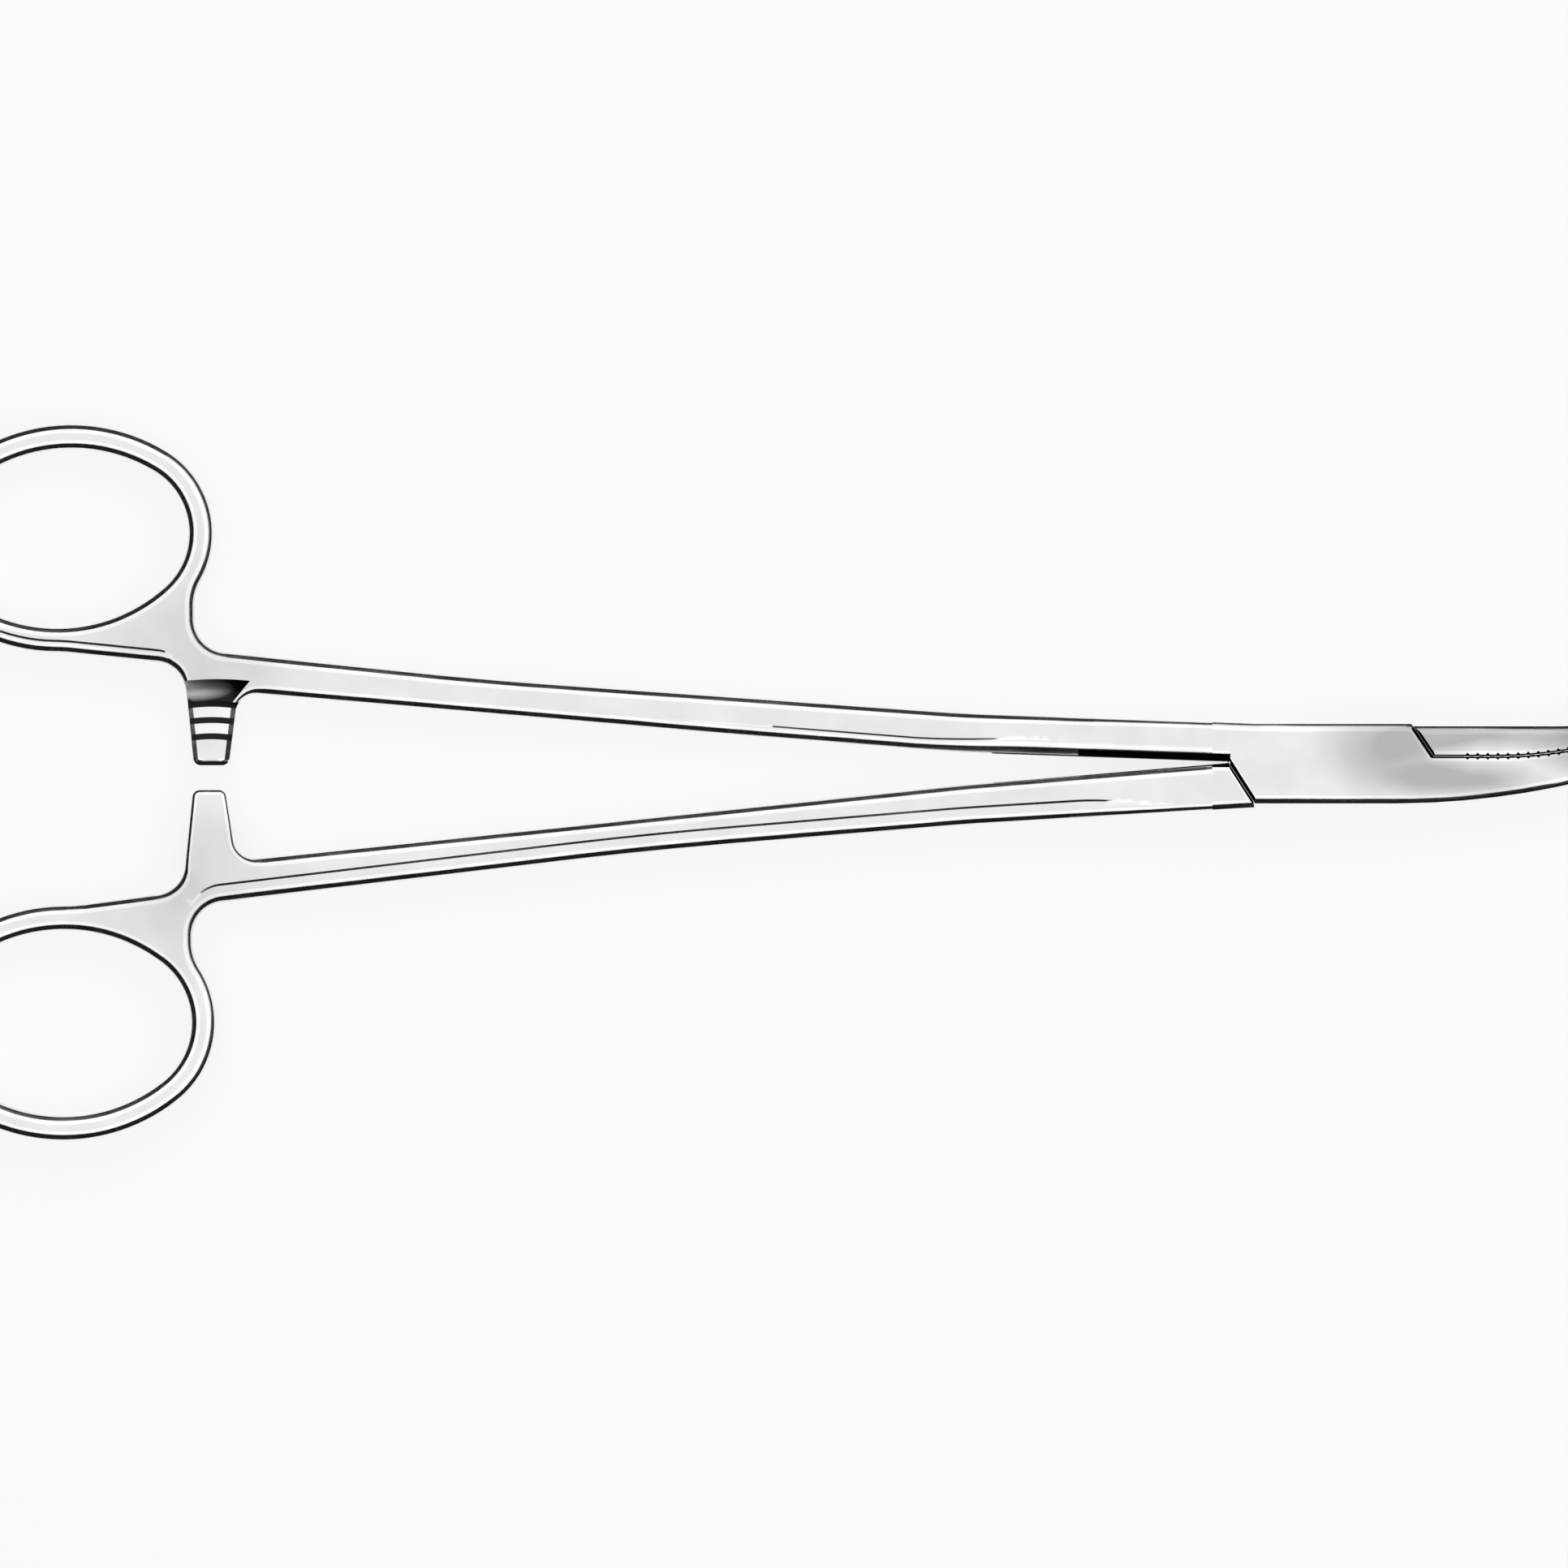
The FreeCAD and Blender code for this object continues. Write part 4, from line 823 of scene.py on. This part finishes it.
def finish_gaps(mesh):
    """Give the upright faces beside a lap the joint's finish, and those beside the bite the milled one,
    whose dark colour is painted shade in the serration's notches.
    """
    centres, normals = np.empty(len(mesh.polygons) * 3), np.empty(len(mesh.polygons) * 3)
    mesh.polygons.foreach_get("center", centres)
    mesh.polygons.foreach_get("normal", normals)
    spots = centres[0::3] / MM + 1j * centres[1::3] / MM
    kinds = np.zeros(len(spots), np.int32)
    for corners, reach, kind in (
            (BITE, 0.6, MILLED_SHADE), (REAR_JOINT, 0.4, OILED_AND_SHADED), (FRONT_JOINT, 0.4, OILED_AND_SHADED)):
        path = route(corners)
        line = np.interp(np.arange(0, len(path) - 1, 0.2), np.arange(len(path)), path)
        kinds[np.abs(spots[:, None] - line).min(axis=1) < reach] = kind
    kinds[np.abs(normals[2::3]) > 0.5] = STEEL
    mesh.polygons.foreach_set("material_index", kinds)


def lock_cutters(node, sizes, materials):
    """Return the cutters of a half's joints and edges, on its upper and its lower face.

    A section's five sides each have a finish: the V of a joint gets the dark joint finish, and the slope
    over the crotch gets it too, as painted shade.
    """
    land = sizes.land / MM
    steel = [STEEL] * 5
    joint = [STEEL, OILED_AND_SHADED, OILED_AND_SHADED, STEEL, STEEL]
    # Painted shade: the slope over the crotch takes the dark joint finish.
    oiled_and_shaded = [STEEL, STEEL, OILED_AND_SHADED, STEEL, STEEL]
    lap = joint_section(sizes.lap / MM, land / 2)
    bite = joint_section(sizes.bite / MM, land)
    low, high, crotch = [bevel_section(width / MM, land)
                         for width in (sizes.low_bevel, sizes.high_bevel, sizes.crotch)]
    cuts = {
        "box_half": [("low_edge", LOW_EDGE, low, steel), ("box_edge", BOX_EDGE, high, steel),
                     ("crotch_top", CROTCH_EDGES[0], crotch, oiled_and_shaded)],
        "tongue_half": [("high_edge", HIGH_EDGE, high, steel), ("tongue_edge", TONGUE_EDGE, low, steel),
                        ("crotch_low", CROTCH_EDGES[1], high, oiled_and_shaded)],
    }[node] + [("bite_joint", BITE, bite, joint), ("rear_joint", REAR_JOINT, lap, joint),
               ("front_joint", FRONT_JOINT, lap, joint)]
    return [routed_cutter(name, route(corners), section, side, materials, kinds)
            for name, corners, section, kinds in cuts for side in (1, -1)]


def bite_shadow_bar(name, sizes, way, materials):
    """Return a thin dark bar in the middle of a jaw, just behind its bite: painted shadow that closes the
    serration's notches.
    """
    path = route(BITE_SHADOW_PATH)
    beside = 1j * np.gradient(path) / np.abs(np.gradient(path))
    offsets = way * np.array([0.03, sizes.root / MM, sizes.root / MM, 0.03])
    plan = path[:, None] + beside[:, None] * offsets
    height = np.tile([0.15, 0.15, -0.15, -0.15], (len(path), 1))
    rim = np.stack([plan.real, plan.imag, height], axis=-1)
    return tube_mesh(name, rim, materials, [OILED_AND_SHADED] * 4)


def new_object(name, mesh, material):
    """Link a stage object with one material into the scene."""
    mesh.materials.append(material)
    thing = bpy.data.objects.new(name, mesh)
    bpy.context.scene.collection.objects.link(thing)
    return thing


class NEEDLE_OT_handles(bpy.types.Operator):
    """Make both handles with their rings, shanks and ratchet arms"""

    bl_idname = "needle.handles"
    bl_label = "Handles"

    def execute(self, context):
        scene = context.scene
        materials = finishes()
        for name, plan, node, body in (
                ("upper_handle", UPPER, "box_half", "box_body"),
                ("lower_handle", LOWER, "tongue_half", "tongue_body")):
            blank = handle_mesh(name, plan, scene.needle_edge, materials)
            cutter = ratchet_cutter(plan, scene.needle_ratchet, materials)
            finish_piece(carve(blank, [cutter]), body, "steel", node)
        return {"FINISHED"}


class NEEDLE_OT_box_lock(bpy.types.Operator):
    """Make the box with its jaw, the tongue with its jaw, and the pin"""

    bl_idname = "needle.box_lock"
    bl_label = "Box lock and jaws"

    def execute(self, context):
        sizes = context.scene.needle_joint
        materials = finishes()
        for name, node, body in (
                ("box_and_jaw", "box_half", "box_body"),
                ("tongue_and_jaw", "tongue_half", "tongue_body")):
            blank = front_of(node, name, sizes.seam, materials)
            carved = carve(blank, lock_cutters(node, sizes, materials))
            finish_piece(merge_flats(carved), body, "steel", node)
        # Bars of painted shadow behind the bite, inside each jaw.
        for name, node, body, way in (
                ("upper_bite_shadow_bar", "tongue_half", "tongue_body", 1),
                ("lower_bite_shadow_bar", "box_half", "box_body", -1)):
            finish_piece(bite_shadow_bar(name, sizes, way, materials), body, "steel", node)
        pin = front_of("pivot_pin", "peened_pin", None, materials)
        finish_piece(pin, "box_body", "pin_steel", "pivot_pin")
        return {"FINISHED"}


class NEEDLE_OT_stage(bpy.types.Operator):
    """Make the floor, the black cards, the dome light and the camera"""

    bl_idname = "needle.stage"
    bl_label = "Stage"

    def execute(self, context):
        scene = context.scene
        studio = scene.needle_studio
        scene.view_settings.view_transform = "Standard"
        self.make_camera(scene, studio)
        self.make_floor(studio)
        self.make_cards(studio)
        self.make_dome(scene, studio)
        return {"FINISHED"}

    def make_camera(self, scene, studio):
        """Look straight down at the middle of the photographed stretch."""
        lens = bpy.data.cameras.new("Camera")
        lens.lens = lens.sensor_width * studio.distance / studio.width
        lens.clip_end = 10
        camera = bpy.data.objects.new("Camera", lens)
        scene.collection.objects.link(camera)
        camera.location = (VIEW_X * MM, VIEW_Y * MM, studio.distance + MID * MM)
        scene.camera = camera

    def make_floor(self, studio):
        """Lay white paper under the object, partly lit from behind so that shadows stay faint."""
        half = 3.0
        corners = [(-half, -half, 0), (half, -half, 0), (half, half, 0), (-half, half, 0)]
        mesh = bpy.data.meshes.new("paper")
        mesh.from_pydata(corners, [], [(0, 1, 2, 3)])
        material, tree = new_material("white_paper_sweep")
        place = add_node(tree, "ShaderNodeTexCoord").outputs["Object"]
        fibres = add_node(tree, "ShaderNodeTexNoise", {"Vector": place, "Scale": 2000.0, "Detail": 2.0})
        relief = add_node(tree, "ShaderNodeBump", {
            "Height": fibres.outputs["Fac"], "Strength": 0.05, "Distance": 0.00002})
        paper = add_node(tree, "ShaderNodeBsdfDiffuse", {
            "Color": linear("#fafafa"), "Normal": relief.outputs[0]})
        path = add_node(tree, "ShaderNodeLightPath")
        seen = add_node(tree, "ShaderNodeMath", {
            0: path.outputs["Is Camera Ray"], 1: path.outputs["Is Glossy Ray"]}, operation="MAXIMUM")
        shown = add_node(tree, "ShaderNodeMath", {
            0: seen.outputs[0], 1: path.outputs["Is Transmission Ray"]}, operation="MAXIMUM")
        share = add_node(tree, "ShaderNodeMath", {
            0: shown.outputs[0], 1: studio.paper}, operation="MULTIPLY")
        white = add_node(tree, "ShaderNodeEmission", {"Strength": 1.0})
        mix = add_node(tree, "ShaderNodeMixShader", {
            0: share.outputs[0], 1: paper.outputs[0], 2: white.outputs[0]})
        add_node(tree, "ShaderNodeOutputMaterial", {"Surface": mix.outputs[0]})
        new_object("paper", mesh, material)

    def make_cards(self, studio):
        """Stand black felt cards round the object; they draw the dark lines along its polished edges.

        Their elevation is low + (high - low) ((1 + cos a) / 2)^1.3 for the angle a from the dark side.
        """
        count, reach = 96, 0.8
        around = np.linspace(0, 2 * math.pi, count + 1)[:-1]
        share = ((1 + np.cos(around - studio.card_side)) / 2) ** 1.3
        top = reach * np.tan(studio.card_low + (studio.card_high - studio.card_low) * share)
        ring = reach * np.exp(1j * around) + VIEW_X * MM
        low = np.stack([ring.real, ring.imag, 0 * around + 0.0005], axis=-1)
        high = np.stack([ring.real, ring.imag, top], axis=-1)
        index = np.arange(count)
        beside = np.roll(index, -1)
        faces = np.stack([index, beside, beside + count, index + count], axis=-1)
        mesh = bpy.data.meshes.new("black_cards")
        mesh.from_pydata(np.concatenate([low, high]), [], faces.tolist())
        material, tree = new_material("black_felt")
        place = add_node(tree, "ShaderNodeTexCoord").outputs["Object"]
        nap = add_node(tree, "ShaderNodeTexNoise", {"Vector": place, "Scale": 300.0})
        tone = add_node(tree, "ShaderNodeMix", {
            0: nap.outputs["Fac"], 6: linear("#0c0c0c"), 7: linear("#1c1c1c")}, data_type="RGBA")
        felt = add_node(tree, "ShaderNodeBsdfDiffuse", {"Color": tone.outputs[2]})
        add_node(tree, "ShaderNodeOutputMaterial", {"Surface": felt.outputs[0]})
        new_object("black_cards", mesh, material).visible_camera = False

    def make_dome(self, scene, studio):
        """Light the object with a soft dome, a little dimmer overhead; the camera sees it white."""
        world = bpy.data.worlds.new("Dome")
        world.use_nodes = True
        tree = world.node_tree
        tree.nodes.clear()
        place = add_node(tree, "ShaderNodeTexCoord").outputs["Generated"]
        height = add_node(tree, "ShaderNodeSeparateXYZ", {0: place})
        glow = add_node(tree, "ShaderNodeMapRange", {
            "Value": height.outputs["Z"], "From Min": 0.93, "From Max": 1.0,
            "To Min": studio.around, "To Max": studio.top}, interpolation_type="SMOOTHSTEP")
        path = add_node(tree, "ShaderNodeLightPath")
        level = add_node(tree, "ShaderNodeMix", {
            0: path.outputs["Is Camera Ray"], 2: glow.outputs[0], 3: 1.0})
        dome = add_node(tree, "ShaderNodeBackground", {
            "Color": (1, 1, 1, 1), "Strength": level.outputs[0]})
        add_node(tree, "ShaderNodeOutputWorld", {"Surface": dome.outputs[0]})
        scene.world = world


class NEEDLE_PT_panel(bpy.types.Panel):
    """List the settings and the operators"""

    bl_idname = "NEEDLE_PT_panel"
    bl_label = "Needle holder"
    bl_space_type = "VIEW_3D"
    bl_region_type = "UI"
    bl_category = "Needle holder"

    def draw(self, context):
        for name in GROUPS:
            group = getattr(context.scene, name)
            for key in group.__annotations__:
                self.layout.prop(group, key)
        for operator in OPERATORS:
            self.layout.operator(operator.bl_idname)


GROUPS = {
    "needle_edge": EdgeSizes,
    "needle_ratchet": RatchetSizes,
    "needle_joint": JointSizes,
    "needle_finish": FinishSettings,
    "needle_studio": StudioSettings,
}
OPERATORS = (NEEDLE_OT_handles, NEEDLE_OT_box_lock, NEEDLE_OT_stage)
CLASSES = (*GROUPS.values(), *OPERATORS, NEEDLE_PT_panel)


def register():
    """Register the classes and hang the settings on the scene."""
    for item in CLASSES:
        bpy.utils.register_class(item)
    for name, group in GROUPS.items():
        setattr(bpy.types.Scene, name, PointerProperty(type=group))


def unregister():
    """Take the settings and the classes away again."""
    for name in GROUPS:
        delattr(bpy.types.Scene, name)
    for item in reversed(CLASSES):
        bpy.utils.unregister_class(item)


def main():
    """Make the pieces and the stage in order."""
    register()
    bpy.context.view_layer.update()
    bpy.ops.needle.handles()
    bpy.ops.needle.box_lock()
    bpy.ops.needle.stage()


if __name__ == "__main__":
    main()
